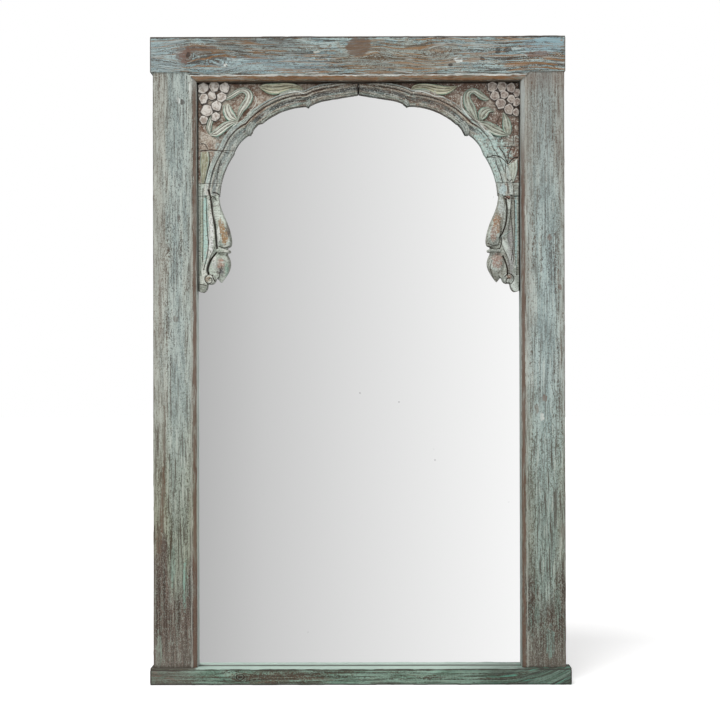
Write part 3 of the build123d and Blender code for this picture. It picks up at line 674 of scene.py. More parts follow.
def post_paint(label, post):
    """The paint of one post: brown on the moulding, bare wood at the foot, painted highlights on its arris
    and reveal, and painted shade deep in the reveal and at the foot.
    """
    material, tree, surface = empty_material("post_" + label)
    side = post["side"]
    vector = along_grain(tree, (2, 1, 0))
    rise, deep, across = axes(vector)
    upper = grouped(old_paint, {
        "Vector": vector, "Dark": srgb(76, 66, 56), "Wood": srgb(*post["wood"]), "Edge": 0.8, "Grain": 0.8,
        "Paint": srgb(*post["paint"]), "Pale": srgb(*post["pale"]),
        "Cover": span(rise, 0.75, 0.40, *post["cover"]),
        "Speckle": span(rise, 0.80, 0.48, 0.95, post["speckle"]),
    })
    bare = grouped(old_paint, {
        "Vector": vector, "Dark": srgb(66, 56, 48), "Wood": srgb(*post["bare_wood"]), "Edge": 0.4,
        "Paint": srgb(*post["bare_paint"]), "Pale": srgb(136, 140, 130), "Cover": post["bare_cover"],
        "Grain": 0.9,
    })
    middle = away_from(across, ARCH_X + side * (HALF_OPENING + post["centre"]))
    streaks = total((noise(vector, (2, 40, 40), 4, 0.3), 0.22), (noise(vector, (10, 14, 14), 4), 0.22))
    foot = plus(rise, streaks, span(middle, 0.008, 0.038, 0.11, 0.0))
    wander = total((noise(vector, (3, 30, 30), 4, 0.4), 0.05), (noise(vector, (9, 110, 110), 3), 0.04))
    drift = plus(middle, wander)
    thread = noise(vector, (12, 260, 260), 3, 0.5)
    aged = layered(
        upper["Color"],
        ((138, 164, 170), span(drift, 0.030, 0.010, 0.0, 0.20)),
        ((152, 138, 124), span(drift, 0.024, 0.044, 0.0, 0.30)),
        (post["green"], span(rise, 0.85, 0.55, 0.0, 0.30)),
        ((80, 70, 60), span(thread, 0.47, 0.37), span(rise, 0.85, 0.45, 0.45, 0.80)),
        ((196, 202, 194), span(thread, 0.56, 0.66), span(rise, 0.85, 0.45, 0.42, 0.62)),
    )
    aged = tint(span(foot, 0.75, 0.42), aged, post["dull"], "MULTIPLY")
    # A dark band at the foot of the post, where it meets the sill: painted contact shade with some dirt.
    contact_shade_and_dirt = plus(rise, total((noise(vector, (90, 120, 120), 3), 0.012)))
    threads = span(thread, 0.38, 0.58, 0.25, 1.0)
    standing = calc("ADD", total((upper["Height"], 1.2)), 1.3, True)
    colour = layered(
        tint(span(foot, 0.37, 0.27), aged, bare["Color"]),
        ((134, 130, 120), span(rise, 0.16, 0.05), 0.22),
        ((62, 52, 44), span(contact_shade_and_dirt, SILL_TOP + 7 * MM, SILL_TOP + 1 * MM), 0.65),
        *(
            (shade, patch(vector, (z, 0, x), (tall, 1, wide), 0.7), threads, standing, amount)
            for z, x, tall, wide, shade, amount in post["streaks"]
        ),
    )
    if side > 0:
        worn_top = plus(span(rise, 1.05, 1.5, 0.0, 0.28), span(rise, 1.48, 1.55, 0.0, 0.25))
        colour = layered(colour, ((118, 100, 88), worn_top))
    off = calc("SUBTRACT", times(calc("SUBTRACT", across, ARCH_X), side), HALF_OPENING)
    off = plus(off, total((noise(vector, (30, 200, 200), 3), 0.006)))
    brown = times(
        span(off, 0.5 * MM, 2.5 * MM), span(off, 11 * MM, 9.5 * MM),
        span(noise(vector, (24, 220, 220), 4), 0.34, 0.50, 0.35, 0.85),
    )
    rubbed = span(rise, *post["rubbed"], 0.0)
    low, high = PLACES[label + "_post"]
    edge = calc("SUBTRACT", across, low.x) if side < 0 else calc("SUBTRACT", high.x, across)
    edge = plus(edge, total((noise(vector, (40, 200, 200), 3), 0.008)))
    colour = layered(
        colour,
        ((188, 198, 196), brown, rubbed, 0.8),
        ((98, 74, 60), brown, calc("SUBTRACT", 1.0, rubbed)),
        # Painted light on the reveal and moulding: the paler front of the reveal is a painted highlight, the
        # dark green deep by the glass is painted shade, and the pale line on the arris is a painted
        # highlight.
        ((186, 196, 192), span(off, 2.5 * MM, 0.5 * MM), span(deep, -9 * MM, -7 * MM), 0.6),
        ((66, 88, 78), span(off, 2.5 * MM, 0.5 * MM), span(deep, 12 * MM, 18 * MM), 0.75),
        ((192, 192, 182), span(off, 11.5 * MM, 13 * MM), span(off, 16 * MM, 14 * MM), 0.45),
        ((84, 70, 60), span(edge, 3.5 * MM, 1.5 * MM), 0.6),
    )
    finish_wood(surface, colour, upper["Roughness"], upper["Height"], 1.4 * MM)
    return material


for label, post in POSTS.items():
    piece = make_post(label, post["side"])
    painted(piece, post_paint(label, post))
    dressed(piece, label + "_post")

# Lintel: the head beam, a little proud of the posts and mitred over their mouldings. It has
# the bluest paint, over wavy grain with knots, a painted white highlight along the edge above
# its moulding, and painted shadow along its foot.
LINTEL_STEP = 2 * MM
LINTEL_OVOLO = (16 * MM, 12 * MM)
LINTEL_ROUND = 2 * MM
SHOULDER_W = 0.2
# Knots: place across and up, and size.
LINTEL_KNOTS = ((-0.446, 1.600, 0.020), (-0.357, 1.588, 0.022), (0.045, 1.592, 0.014), (0.20, 1.612, 0.016))
# Marks: place across and up, half size across and up, raggedness, colour, amount.
LINTEL_MARKS = (
    (-0.49, 1.605, 0.055, 0.05, 0.5, (158, 174, 176), 0.55),
    (-0.447, 1.602, 0.022, 0.024, 0.6, (104, 84, 70), 0.6),
    (-0.405, 1.612, 0.03, 0.010, 0.6, (112, 92, 76), 0.6),
    (0.47, 1.625, 0.055, 0.022, 0.5, (144, 170, 180), 0.5),
    (0.27, 1.612, 0.09, 0.04, 0.5, (150, 168, 170), 0.35),
    (-0.23, 1.578, 0.16, 0.022, 0.5, (146, 166, 172), 0.4),
    (0.10, 1.596, 0.18, 0.042, 0.7, (138, 112, 78), 0.36),
    (-0.26, 1.622, 0.15, 0.03, 0.6, (104, 92, 78), 0.4),
    (-0.003, 1.624, 0.032, 0.025, 0.35, (104, 82, 66), 0.85),
    (0.481, 1.631, 0.038, 0.015, 0.5, (142, 172, 180), 0.75),
    (0.454, 1.602, 0.030, 0.008, 0.5, (128, 98, 84), 0.75),
    (0.353, 1.612, 0.007, 0.007, 0.6, (46, 42, 40), 0.9),
    (0.376, 1.613, 0.009, 0.006, 0.9, (52, 48, 46), 0.9),
    (0.314, 1.590, 0.007, 0.005, 0.8, (48, 44, 42), 0.9),
    (0.232, 1.575, 0.005, 0.004, 0.6, (54, 48, 44), 0.9),
    (0.252, 1.588, 0.011, 0.006, 1.4, (216, 222, 218), 0.85),
    (-0.408, 1.620, 0.045, 0.005, 0.7, (102, 80, 68), 0.75),
    (-0.342, 1.577, 0.006, 0.004, 0.6, (230, 232, 226), 0.95),
    (-0.109, 1.609, 0.010, 0.0025, 0.6, (216, 218, 208), 0.7),
    (-0.443, 1.600, 0.016, 0.018, 0.9, (112, 82, 70), 0.7),
    (-0.437, 1.601, 0.006, 0.007, 0.6, (58, 48, 42), 0.85),
)
MARK_DEPTH = 0.2
# Edges: from and to in millimetres above the lintel's foot, colour, amount.
# The white line over the moulding is a painted highlight, and the dark line at the foot is painted shadow.
LINTEL_EDGES = (
    (13.5, 17.5, (226, 228, 222), 0.8), (17.5, 21, (96, 84, 72), 0.45), (-5, 3, (56, 46, 36), 0.75),
    (109.5, 125, (66, 54, 46), 0.9),
)


def drawn_out(move):
    """Draws the active flat shape out into a closed solid."""
    bpy.ops.object.mode_set(mode="EDIT")
    bpy.ops.mesh.select_all(action="SELECT")
    bpy.ops.mesh.extrude_region_move(TRANSFORM_OT_translate={"value": move})
    faces_outward()


def make_lintel():
    """The head beam with its moulding, shoulders, mitres and rebates."""
    low, high = PLACES["lintel"]
    back = high.y - BACK_SET
    mould = [(low.y + y, low.z + z) for z, y in reversed(ovolo(*LINTEL_OVOLO, LINTEL_STEP))]
    corner = [(low.y + x, high.z + y) for x, y in reversed(rounded(-1, 1, LINTEL_ROUND))]
    beam = timber("lintel_worn", mould + corner + [(back, high.z), (back, low.z)], low.x, high.x, 0)
    near_arris(beam, ARRIS_REACH, 0, (low.y, high.z), (low.y, low.z + LINTEL_OVOLO[0]))
    weather(beam, "lintel_waves", 0.10, (3, 1, 1), 1.0 * MM, level=0.9)
    weather(beam, "lintel_chips", 0.018, (3.0, 1, 1), 3.0 * MM, 3.0, "arris", 1.0)
    for side, inner in ((-1, OPENING_LEFT), (1, OPENING_RIGHT)):
        outer, top = inner + side * SHOULDER_W, low.z + MITRE
        shoulder = [(inner - side * PAST, low.z - PAST), (inner + side * MITRE, top)]
        shoulder += [(outer, top), (outer, low.z - PAST)]
        bpy.ops.mesh.primitive_circle_add(vertices=len(shoulder), fill_type="NGON")
        cutter = bpy.context.object
        for vertex, (x, z) in zip(cutter.data.vertices, shoulder):
            vertex.co = (x, low.y - PAST, z)
        drawn_out((0, high.y - low.y + 2 * PAST, 0))
        cut_away(beam, cutter)
    cut_rebates(beam, back, from_z=low.z - PAST)
    return beam


material, tree, surface = empty_material("lintel_blue")
low, high = PLACES["lintel"]
place = along_grain(tree)
across, deep, up = axes(place)
wave = total((noise(place, (5, 0.5, 5), 2), 0.019), (noise(place, (26, 0.5, 22), 2), 0.005))
vector = moved("ADD", place, put(tree, "CombineXYZ", {"Z": wave}).outputs[0])
rings = []
for x, z, size in LINTEL_KNOTS:
    knot = grouped(knot_group, {"Vector": vector, "Centre": (x, 0, z), "Size": size})
    vector = knot["Vector"]
    rings.append(((84, 70, 60), knot["Mask"], knot["Rings"], 0.8))
paint = grouped(old_paint, {
    "Vector": moved("MULTIPLY", vector, (1.1, 1.5, 1.5)), "Dark": srgb(72, 64, 56), "Wood": srgb(122, 96, 70),
    "Paint": srgb(126, 150, 154), "Pale": srgb(170, 190, 188), "Cover": 0.57, "Edge": 0.9, "Grain": 1.0,
    "Patchy": 0.5, "Speckle": 1.15,
})
standing = calc("ADD", total((paint["Height"], 1.5)), 1.45, True)
colour = layered(
    paint["Color"],
    ((66, 56, 48), span(noise(vector, (13, 290, 290), 3, 0.4), 0.47, 0.39), 0.8),
    ((146, 106, 66), span(noise(vector, (9, 210, 210), 4, 0.6), 0.52, 0.60), 0.75),
    ((196, 206, 204), span(noise(vector, (18, 300, 300), 3, 0.4), 0.58, 0.66), 0.6),
    *rings,
    *(
        (shade, patch(place, (x, low.y, z), (wide, MARK_DEPTH, tall), ragged), standing, amount)
        for x, z, wide, tall, ragged, shade, amount in LINTEL_MARKS
    ),
)
rise = plus(calc("SUBTRACT", up, LINTEL_Z), total((noise(place, (60, 200, 200), 3), 0.008)))
on_mould = span(rise, 14 * MM, 12 * MM)
tips = either(
    span(across, low.x + 3.5 * MM, low.x + 2 * MM), span(across, high.x - 3.5 * MM, high.x - 2 * MM),
)
colour = layered(
    colour,
    (
        (134, 98, 66), span(rise, -1 * MM, 1 * MM), span(rise, 14.5 * MM, 12.5 * MM),
        span(noise(place, (14, 120, 120), 4), 0.36, 0.56, 0.5, 0.9),
    ),
    ((120, 130, 116), span(noise(place, (26, 260, 260), 4, 0.4), 0.52, 0.60), on_mould, 0.5),
    ((70, 54, 40), span(noise(place, (40, 300, 300), 3, 0.4), 0.44, 0.36), on_mould, 0.55),
    *(
        (shade, span(rise, foot * MM, foot * MM + MM), span(rise, head * MM, head * MM - MM), amount)
        for foot, head, shade, amount in LINTEL_EDGES
    ),
    ((70, 58, 50), tips, 0.7),
)
finish_wood(surface, colour, paint["Roughness"], paint["Height"], 1.6 * MM)
lintel = make_lintel()
painted(lintel, material)
dressed(lintel, "lintel")

# Pegs, dowels and packers: turned and split hardwood, bare and oiled dark by age. The pegs
# go in from the back, the dowels cross the seams of the panel, and the packers hold the glass.
material, tree, surface = empty_material("peg_hardwood")
fibre = noise(along_grain(tree, (1, 0, 2)), (40, 700, 700), 3)
colour = tint(span(fibre, 0.35, 0.65), srgb(96, 70, 46), srgb(146, 112, 78))
finish_wood(surface, colour, span(fibre, 0.3, 0.7, 0.75, 0.6), fibre, 0.4 * MM)
for name in ("lintel_pegs", "sill_pegs", "arch_dowels", "setting_blocks"):
    painted(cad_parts[name], material)

# Arch panel: six pieces of carved hardwood, tongued into the posts and the lintel. Each
# starts as the sawn and moulded piece, whose arrises are then rubbed round, and the leaves,
# petals and cut lines are carved on its front.
VOXEL = 1.3 * MM
PENDANT_VOXEL = 1.0 * MM
ARCH_Y = PLACES["left_spandrel"][0].y
FIELD_Y = ARCH_Y + 8 * MM
FIELD_WEAR = 1.1 * MM
RAISED = 0.2 * MM
BESIDE_MOULDING = 0.3 * MM
MOULDING_W = 39 * MM
APEX_DROP = 29 * MM
NOTCH_DROP = 289 * MM
NO_GAP = 99
PIXEL = 2.54 * MM
SCOOP_DEPTH = 0.2
SCOOP_SIDES = 48
CROWN_SLOPE = math.radians(9.17)
CROWN_RUN = 84.8 * MM
LOBE_SHARES = (
    (0.1574, 0.3838, 0.2845), (0.3126, 0.5838, 0.4426), (0.5763, 0.4964, 0.207), (0.3809, 0.7182, 0.4828),
)
CURVE_STEPS = 12
STROKE_STEPS = 10
DOT_HALF = 0.3
DOT_DEPTH = 4.0
LEAF_SPREAD = 1.2
LEAF_RISE = 1.35
LIP_HEIGHT = 11 * MM
LIP_SINK = 8 * MM
LIP_GRID = (16, 10)
FOLD_HEIGHT = 6 * MM
PETAL_SQUARE = 3.4
PETAL_HEIGHTS = (5.2 * MM, 6.4 * MM, 7.6 * MM)
PETAL_TURNS = (-40, -15, 10, 35)
BAND_REACH = 45.0


def worn_copy(node, voxel, flatten=None, scoops=()):
    """A copy of a sawn piece, scooped at its cusps and with its arrises rubbed round."""
    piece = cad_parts[node].copy()
    piece.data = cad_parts[node].data.copy()
    for key in list(piece.keys()):
        del piece[key]
    piece.parent = None
    piece.name = node + "_carved"
    bpy.context.scene.collection.objects.link(piece)
    alone(piece)
    bpy.ops.object.mode_set(mode="EDIT")
    bpy.ops.mesh.select_all(action="SELECT")
    bpy.ops.mesh.remove_doubles(threshold=1e-6)
    bpy.ops.object.mode_set(mode="OBJECT")
    if flatten:
        for vertex in piece.data.vertices:
            flatten(vertex.co)
    for pixel, radius in scoops:
        middle = on_plane(pixel, ARCH_Y)
        middle.y = 0
        bored(piece, middle, radius * PIXEL, SCOOP_DEPTH, SCOOP_SIDES)
    applied(piece, "REMESH", mode="VOXEL", voxel_size=voxel)
    applied(piece, "SMOOTH", factor=0.5, iterations=2)
    return piece


def off_edge(x, z):
    """How far places lie outside the edge of the arched opening, below 0 inside it."""
    across, drop = np.abs(x - ARCH_X), LINTEL_Z - z
    down = drop - APEX_DROP
    along = across * math.cos(CROWN_SLOPE) + down * math.sin(CROWN_SLOPE)
    away = across * math.sin(CROWN_SLOPE) - down * math.cos(CROWN_SLOPE)
    gap = np.where((along > 0) & (along < CROWN_RUN), away, 1.0)
    for a, d, r in LOBE_SHARES:
        lobe = np.hypot(across - a * HALF_OPENING, drop - d * HALF_OPENING) - r * HALF_OPENING
        gap = np.minimum(gap, lobe)
    return gap


def clear_field(co):
    """Cuts the plain leaves of the sawn piece back to the flat field."""
    if co.y < FIELD_Y - RAISED and off_edge(co.x, co.z) > MOULDING_W + BESIDE_MOULDING:
        co.y = FIELD_Y


def smooth_path(points, count):
    """A smooth curve through given points, as count places along it."""
    ends = [points[0] * 2 - points[1]] + list(points) + [points[-1] * 2 - points[-2]]
    dense = []
    for a, b, c, d in zip(ends, ends[1:], ends[2:], ends[3:]):
        for i in range(CURVE_STEPS):
            t = i / CURVE_STEPS
            curve = 2 * b + (c - a) * t + (2 * a - 5 * b + 4 * c - d) * t * t
            dense.append(0.5 * (curve + (3 * b - a - 3 * c + d) * t ** 3))
    dense.append(points[-1])
    dense = np.array([tuple(p) for p in dense])
    run = np.concatenate([[0], np.cumsum(np.linalg.norm(np.diff(dense, axis=0), axis=1))])
    wanted = np.linspace(0, run[-1], count)
    return np.stack([np.interp(wanted, run, dense[:, k]) for k in range(3)], axis=1)


def drawn(pixels, y, count):
    """A smooth line at depth y through pixels of the photograph."""
    return smooth_path([on_plane(p, y) for p in pixels], count)


def leaf(edges, height, ribs, paint, sink=5 * MM, rows=48, columns=18):
    """A carved leaf between two edges drawn from stalk to tip, with a raised rim and long ribs."""
    first, second = (drawn(edge, ARCH_Y, rows + 1) for edge in edges)
    bpy.ops.mesh.primitive_grid_add(x_subdivisions=rows, y_subdivisions=columns, size=2)
    piece = bpy.context.object
    for vertex in piece.data.vertices:
        s, t = (vertex.co.x + 1) / 2, vertex.co.y
        row = round(s * rows)
        place = (first[row] + second[row]) / 2 + (second[row] - first[row]) * t * LEAF_SPREAD / 2
        swell = min(1, 6 * s + 0.35) * min(1, 5 * (1 - s) + 0.3)
        fall = (1 - abs(t) ** 6) ** 0.5
        rim = 0.28 * math.exp(-(((abs(t) - 0.8) / 0.14) ** 2))
        rib = 0.11 * math.cos(math.pi * t * ribs)
        lift = height * (swell * (0.60 * fall + rim * fall + rib * (1 - t * t)))
        vertex.co = (place[0], FIELD_Y - lift, place[2])
    drawn_out((0, sink, 0))
    painted(piece, paint)
    return piece


def petal(pixel, across, up, height, turn, paint):
    """A low petal with five or six sides: its half sizes across and up, in pixels, and its turn."""
    bpy.ops.mesh.primitive_uv_sphere_add(segments=28, ring_count=18, radius=1)
    piece = bpy.context.object
    middle = on_plane(pixel, ARCH_Y)
    cos, sin = math.cos(math.radians(turn)), math.sin(math.radians(turn))
    side = math.tau / (5 if turn > 0 else 6)
    for vertex in piece.data.vertices:
        u, v, out = vertex.co
        out = math.copysign(abs(out) ** (1 / PETAL_SQUARE), out)
        around = math.atan2(v, u)
        corner = math.cos(side / 2) / math.cos((around + turn) % side - side / 2)
        uneven = 1.18 * corner + 0.06 * math.cos(3 * around + turn) + 0.04 * math.cos(5 * around - turn)
        u, v = u * uneven * across * PIXEL, v * uneven * up * PIXEL
        vertex.co = (middle.x + u * cos - v * sin, FIELD_Y - height * out, middle.z + u * sin + v * cos)
    bpy.ops.object.mode_set(mode="EDIT")
    faces_outward()
    painted(piece, paint)
    return piece


def dot(x, y, width):
    """A small drilled dot, given as a very short stroke."""
    return [(x, y - DOT_HALF), (x, y + DOT_HALF)], width, DOT_DEPTH


def carve(piece, strokes):
    """Cuts grooves (depth above 0) or raises ridges along drawn lines on the front of a piece."""
    mesh = piece.data
    count = len(mesh.vertices)
    co = np.zeros(count * 3)
    mesh.vertices.foreach_get("co", co)
    co = co.reshape(-1, 3)
    normal = np.zeros(count * 3)
    mesh.vertices.foreach_get("normal", normal)
    front = np.clip(-normal.reshape(-1, 3)[:, 1] * 2.5, 0, 1)
    cut = np.zeros(count)
    for pixels, width, depth in strokes:
        line = drawn(pixels, ARCH_Y, STROKE_STEPS * len(pixels))[:, [0, 2]]
        width, depth = width * MM, depth * MM
        low, high = line.min(0) - width, line.max(0) + width
        flat = co[:, [0, 2]]
        near = np.where(np.all((flat > low) & (flat < high), axis=1))[0]
        if not len(near):
            continue
        a, b = line[:-1], line[1:]
        ab = b - a
        offset = flat[near][:, None, :] - a[None]
        share = np.clip((offset * ab).sum(2) / np.maximum((ab * ab).sum(1), 1e-12), 0, 1)
        gap = np.linalg.norm(offset - share[:, :, None] * ab[None], axis=2).min(1)
        fall = np.clip(1 - gap / width, 0, 1)
        fall = fall * fall * (3 - 2 * fall) * front[near]
        co[near, 1] += depth * fall
        cut[near] = np.where(np.abs(fall) > np.abs(cut[near]), fall * np.sign(depth), cut[near])
    mesh.vertices.foreach_set("co", co.ravel())
    gap = off_edge(co[:, 0], co[:, 2]) / MM
    gap[(LINTEL_Z - co[:, 2] > NOTCH_DROP) | (gap > MOULDING_W / MM + 1)] = NO_GAP
    centre_z = LINTEL_Z - HALF_OPENING
    run = np.arctan2(co[:, 0] - ARCH_X, co[:, 2] - centre_z) * HALF_OPENING
    for label, values in (("cut", cut), ("gap", gap), ("run", run)):
        layer = mesh.attributes.new(label, "FLOAT", "POINT")
        layer.data.foreach_set("value", values.astype(np.float32))
    mesh.update()


def joined(pieces):
    """Several carved shapes made one piece, under the name of the first."""
    alone(pieces[0])
    for piece in pieces[1:]:
        piece.select_set(True)
    bpy.ops.object.join()
    return pieces[0]


# Bands of the moulding: millimetres from the opening's edge, and colour.
# The pale band at 38.5, on the moulding's outer edge, is a painted highlight.
BANDS = (
    (0, (104, 106, 94)), (2, (134, 142, 130)), (5.5, (118, 126, 116)), (7.5, (182, 176, 160)),
    (9.5, (140, 142, 136)), (12, (108, 114, 112)), (17.5, (100, 102, 100)), (20, (150, 146, 134)),
    (22.5, (190, 182, 164)), (24.5, (140, 120, 102)), (26.5, (92, 68, 54)), (28.5, (116, 100, 84)),
    (30.5, (152, 162, 154)), (36, (158, 170, 162)), (38.5, (200, 202, 192)),
)
# Thin lines at the crown: millimetres from the opening's edge, half width, colour.
CROWN_LINES = (
    (33.8, 1.6, (58, 46, 38)), (31.6, 1.2, (190, 182, 168)), (36.4, 1.0, (150, 170, 170)),
    (14.5, 1.0, (62, 58, 54)),
)
# Marks in the paint: middle and half size in pixels, colour, amount.
LEFT_MARKS = (((232, 150), (18, 22), (150, 160, 156), 0.45), ((219, 168), (6, 16), (158, 168, 160), 0.4))
RIGHT_MARKS = (
    ((434, 104), (30, 13), (118, 98, 84), 0.45), ((486, 158), (24, 28), (176, 200, 194), 0.6),
    ((508, 176), (9, 9), (190, 196, 188), 0.5), ((512, 140), (8, 7), (150, 156, 148), 0.4),
)
# On the left bloom, the near-white marks at the bell's left and the bud's upper left are painted highlights,
# and the dark brown mark at the bell's right is painted shade.
LEFT_BLOOM_MARKS = (
    ((220, 267), (5, 9), (128, 126, 120), 0.5), ((227.4, 230), (2.6, 9), (112, 98, 88), 0.7),
    ((219.6, 223), (1.5, 5), (150, 128, 104), 0.8), ((222.4, 230), (2.4, 7), (150, 118, 82), 0.9),
    ((225.2, 238), (3.0, 7), (150, 118, 82), 0.9), ((218, 236), (1.8, 10), (230, 232, 226), 0.7),
    ((220.5, 264), (3.2, 5), (160, 126, 110), 0.6), ((221, 271), (2.4, 3.5), (92, 92, 94), 0.6),
    ((210.8, 236), (2.6, 20), (216, 217, 214), 0.75), ((205.2, 228), (2.8, 36), (176, 208, 200), 0.8),
    ((201.6, 228), (1.4, 32), (156, 162, 142), 0.7), ((213.5, 259), (2.4, 4), (222, 222, 214), 0.7),
    ((208, 279), (3, 3), (140, 124, 104), 0.5), ((203, 288), (4.5, 5), (126, 130, 120), 0.75),
    ((226.6, 271), (1.8, 8), (140, 176, 158), 0.6), ((214, 264), (2.4, 5), (200, 202, 198), 0.6),
    ((207, 190), (3, 6), (206, 204, 196), 0.6), ((221, 254.5), (5, 1.6), (118, 126, 108), 0.5),
)
RIGHT_BLOOM_MARKS = (
    ((500.6, 214), (2.2, 6), (150, 124, 102), 0.6), ((497, 224), (4, 10), (146, 116, 92), 0.85),
    ((493.6, 234), (3.2, 7), (138, 116, 104), 0.8), ((497.5, 261), (5, 8.5), (144, 116, 104), 0.75),
    ((509, 276.5), (2.6, 2.6), (116, 80, 58), 0.8), ((511, 250), (3.6, 26), (146, 144, 144), 0.6),
    ((516.2, 230), (1.2, 40), (150, 180, 178), 0.8), ((507.5, 197.5), (3, 1.8), (108, 62, 48), 0.9),
    ((503, 190), (4, 6), (182, 200, 200), 0.6), ((501.5, 207), (3.2, 9), (186, 194, 190), 0.8),
)


def carved_paint(name, field, haze, low_tone, high_tone, ridge, cover, hazy, marks):
    """Paint rubbed off carved wood: brown hollows, a banded moulding, pale where it stands up, and painted
    shade and painted highlights.
    """
    material, tree, surface = empty_material(name)
    place = along_grain(tree)
    beside, depth, above = axes(place)
    gap, run, cut = (
        put(tree, "Attribute", attribute_name=label).outputs["Fac"] for label in ("gap", "run", "cut")
    )
    lift = span(depth, FIELD_Y + 0.5 * MM, FIELD_Y - 5 * MM)
    blotch = noise(place, 34, 5, 0.5)
    fine = noise(place, (120, 120, 170), 4, 0.6)
    grit = noise(place, 300, 3)
    scratch = noise(place, (60, 60, 420), 3, 0.8)
    raised = tint(span(blotch, 0.42, 0.60), srgb(*low_tone), srgb(*high_tone))
    hazed = span(plus(total((blotch, 1.5), (fine, 0.6)), hazy), 0.35, 0.75)
    low = layered(
        tint(hazed, srgb(*field), srgb(*haze)), ((82, 62, 50), span(scratch, 0.45, 0.36), 0.6),
    )
    kept = span(plus(lift, cover, total((blotch, 1.2), (fine, 1.0))), 0.42, 0.72)
    ragged = plus(gap, total((fine, 2.4)))
    stops = [(at / BAND_REACH, srgb(*shade)) for at, shade in BANDS]
    sweep = put(tree, "CombineXYZ", {0: run, 1: times(gap, MM)}).outputs[0]
    hair = noise(sweep, (34, 380, 1), 3, 0.3)
    broad = noise(sweep, (16, 150, 1), 4, 0.3)
    crown = span(above, LINTEL_Z - 0.08, LINTEL_Z - 0.05)
    bands = layered(
        graded(calc("DIVIDE", ragged, BAND_REACH), stops),
        ((116, 86, 68), span(broad, 0.54, 0.62), 0.7),
        ((136, 164, 162), span(broad, 0.46, 0.38), 0.6),
        ((56, 48, 42), span(hair, 0.47, 0.39), 0.8),
        ((200, 206, 198), span(hair, 0.55, 0.63), 0.7),
        ((70, 62, 56), span(fine, 0.42, 0.34), 0.35),
        ((196, 206, 202), span(above, LINTEL_Z - 0.09, LINTEL_Z - 0.18, 0, 0.24)),
        ((84, 74, 64), span(above, LINTEL_Z - 0.07, LINTEL_Z - 0.03, 0, 0.18)),
        ((104, 90, 78), crown, span(ragged, 27, 30, 0.0, 0.45)),
        *(
            (shade, span(away_from(ragged, at), wide, wide / 3), crown, 0.75)
            for at, wide, shade in CROWN_LINES
        ),
    )
    point = geometry(tree, "Pointiness")
    facing = axes(geometry(tree, "Normal"))
    # Faces turned down or to the right get painted shade.
    turned = either(span(facing["Z"], -0.45, -0.85), span(facing["X"], 0.55, 0.9))
    from_middle = away_from(beside, ARCH_X)
    # Dark joints at the panel's edges, under the lintel and at the centre seam, widened with painted shade.
    joints_and_shade = either(
        span(from_middle, HALF_OPENING - 4.5 * MM, HALF_OPENING - 2.5 * MM),
        span(above, LINTEL_Z - 5 * MM, LINTEL_Z - 2.5 * MM), span(from_middle, 3.2 * MM, 1.6 * MM),
    )
    colour = layered(
        tint(span(gap, 40.2, 39.2), tint(kept, low, raised), bands),
        *(
            (
                shade, patch(place, on_plane(pixel, ARCH_Y), (wide * PIXEL, MARK_DEPTH, tall * PIXEL), 0.5),
                calc("ADD", total((fine, 3.2), (grit, 1.6)), amount, True),
            )
            for pixel, (wide, tall), shade, amount in marks
        ),
        ((84, 70, 60), span(grit, 0.44, 0.34), 0.65),
        ((208, 210, 200), span(grit, 0.56, 0.66), 0.65),
        # Painted shade in the hollows and the cut grooves, and painted highlights on the edges and the raised
        # ridges.
        ((54, 44, 36), span(point, 0.485, 0.44), 0.8),
        ((200, 202, 194), span(point, 0.52, 0.57), 0.6),
        ((58, 48, 38), span(cut, 0.15, 0.75), 0.9),
        (ridge, span(cut, -0.25, -0.8), 0.7),
        ((60, 54, 46), turned, 0.6),
        ((40, 34, 28), joints_and_shade, 0.88),
    )
    height = total((blotch, 0.4), (fine, 0.9), (grit, 0.6))
    finish_wood(surface, colour, span(grit, 0.3, 0.7, 0.8, 0.62), height, 0.9 * MM, 0.5)
    return material


def leaf_paint(name, heart, edge, vein):
    """A leaf's worn paint: pale between dark veins, with green left along its rim, and painted shade round
    its edge and in its hollows.
    """
    material, tree, surface = empty_material(name)
    place = along_grain(tree)
    unrolled = put(tree, "UVMap", uv_map="UVMap").outputs[0]
    across = axes(unrolled)[1]
    from_middle = away_from(across, 0.5)
    blotch = noise(place, 70, 4, 0.4)
    fleck = noise(place, 200, 3)
    streak = noise(unrolled, (5, 10, 1), 3, 0.4)
    rim = span(plus(from_middle, total((blotch, 0.25))), 0.33, 0.42)
    ripple = calc("COSINE", times(calc("SUBTRACT", across, 0.5), math.pi * 6))
    colour = layered(
        tint(rim, srgb(*heart), srgb(*edge)),
        (vein, span(ripple, -0.3, -0.9), span(from_middle, 0.44, 0.36), 0.6),
        (vein, span(streak, 0.46, 0.36), 0.6),
        ((212, 214, 204), span(streak, 0.55, 0.64), 0.5),
        # A dark line round the leaf's edge: painted contact shade.
        ((62, 52, 44), span(from_middle, 0.452, 0.485), 0.8),
        ((134, 118, 98), span(blotch, 0.56, 0.70), 0.6),
        ((214, 214, 204), span(fleck, 0.56, 0.66), 0.4),
        # Dark in the hollows: painted shade.
        ((58, 48, 40), span(geometry(tree, "Pointiness"), 0.49, 0.44), 0.8),
    )
    finish_wood(surface, colour, span(fleck, 0.3, 0.7, 0.8, 0.62), fleck, 0.6 * MM, 0.5)
    return material


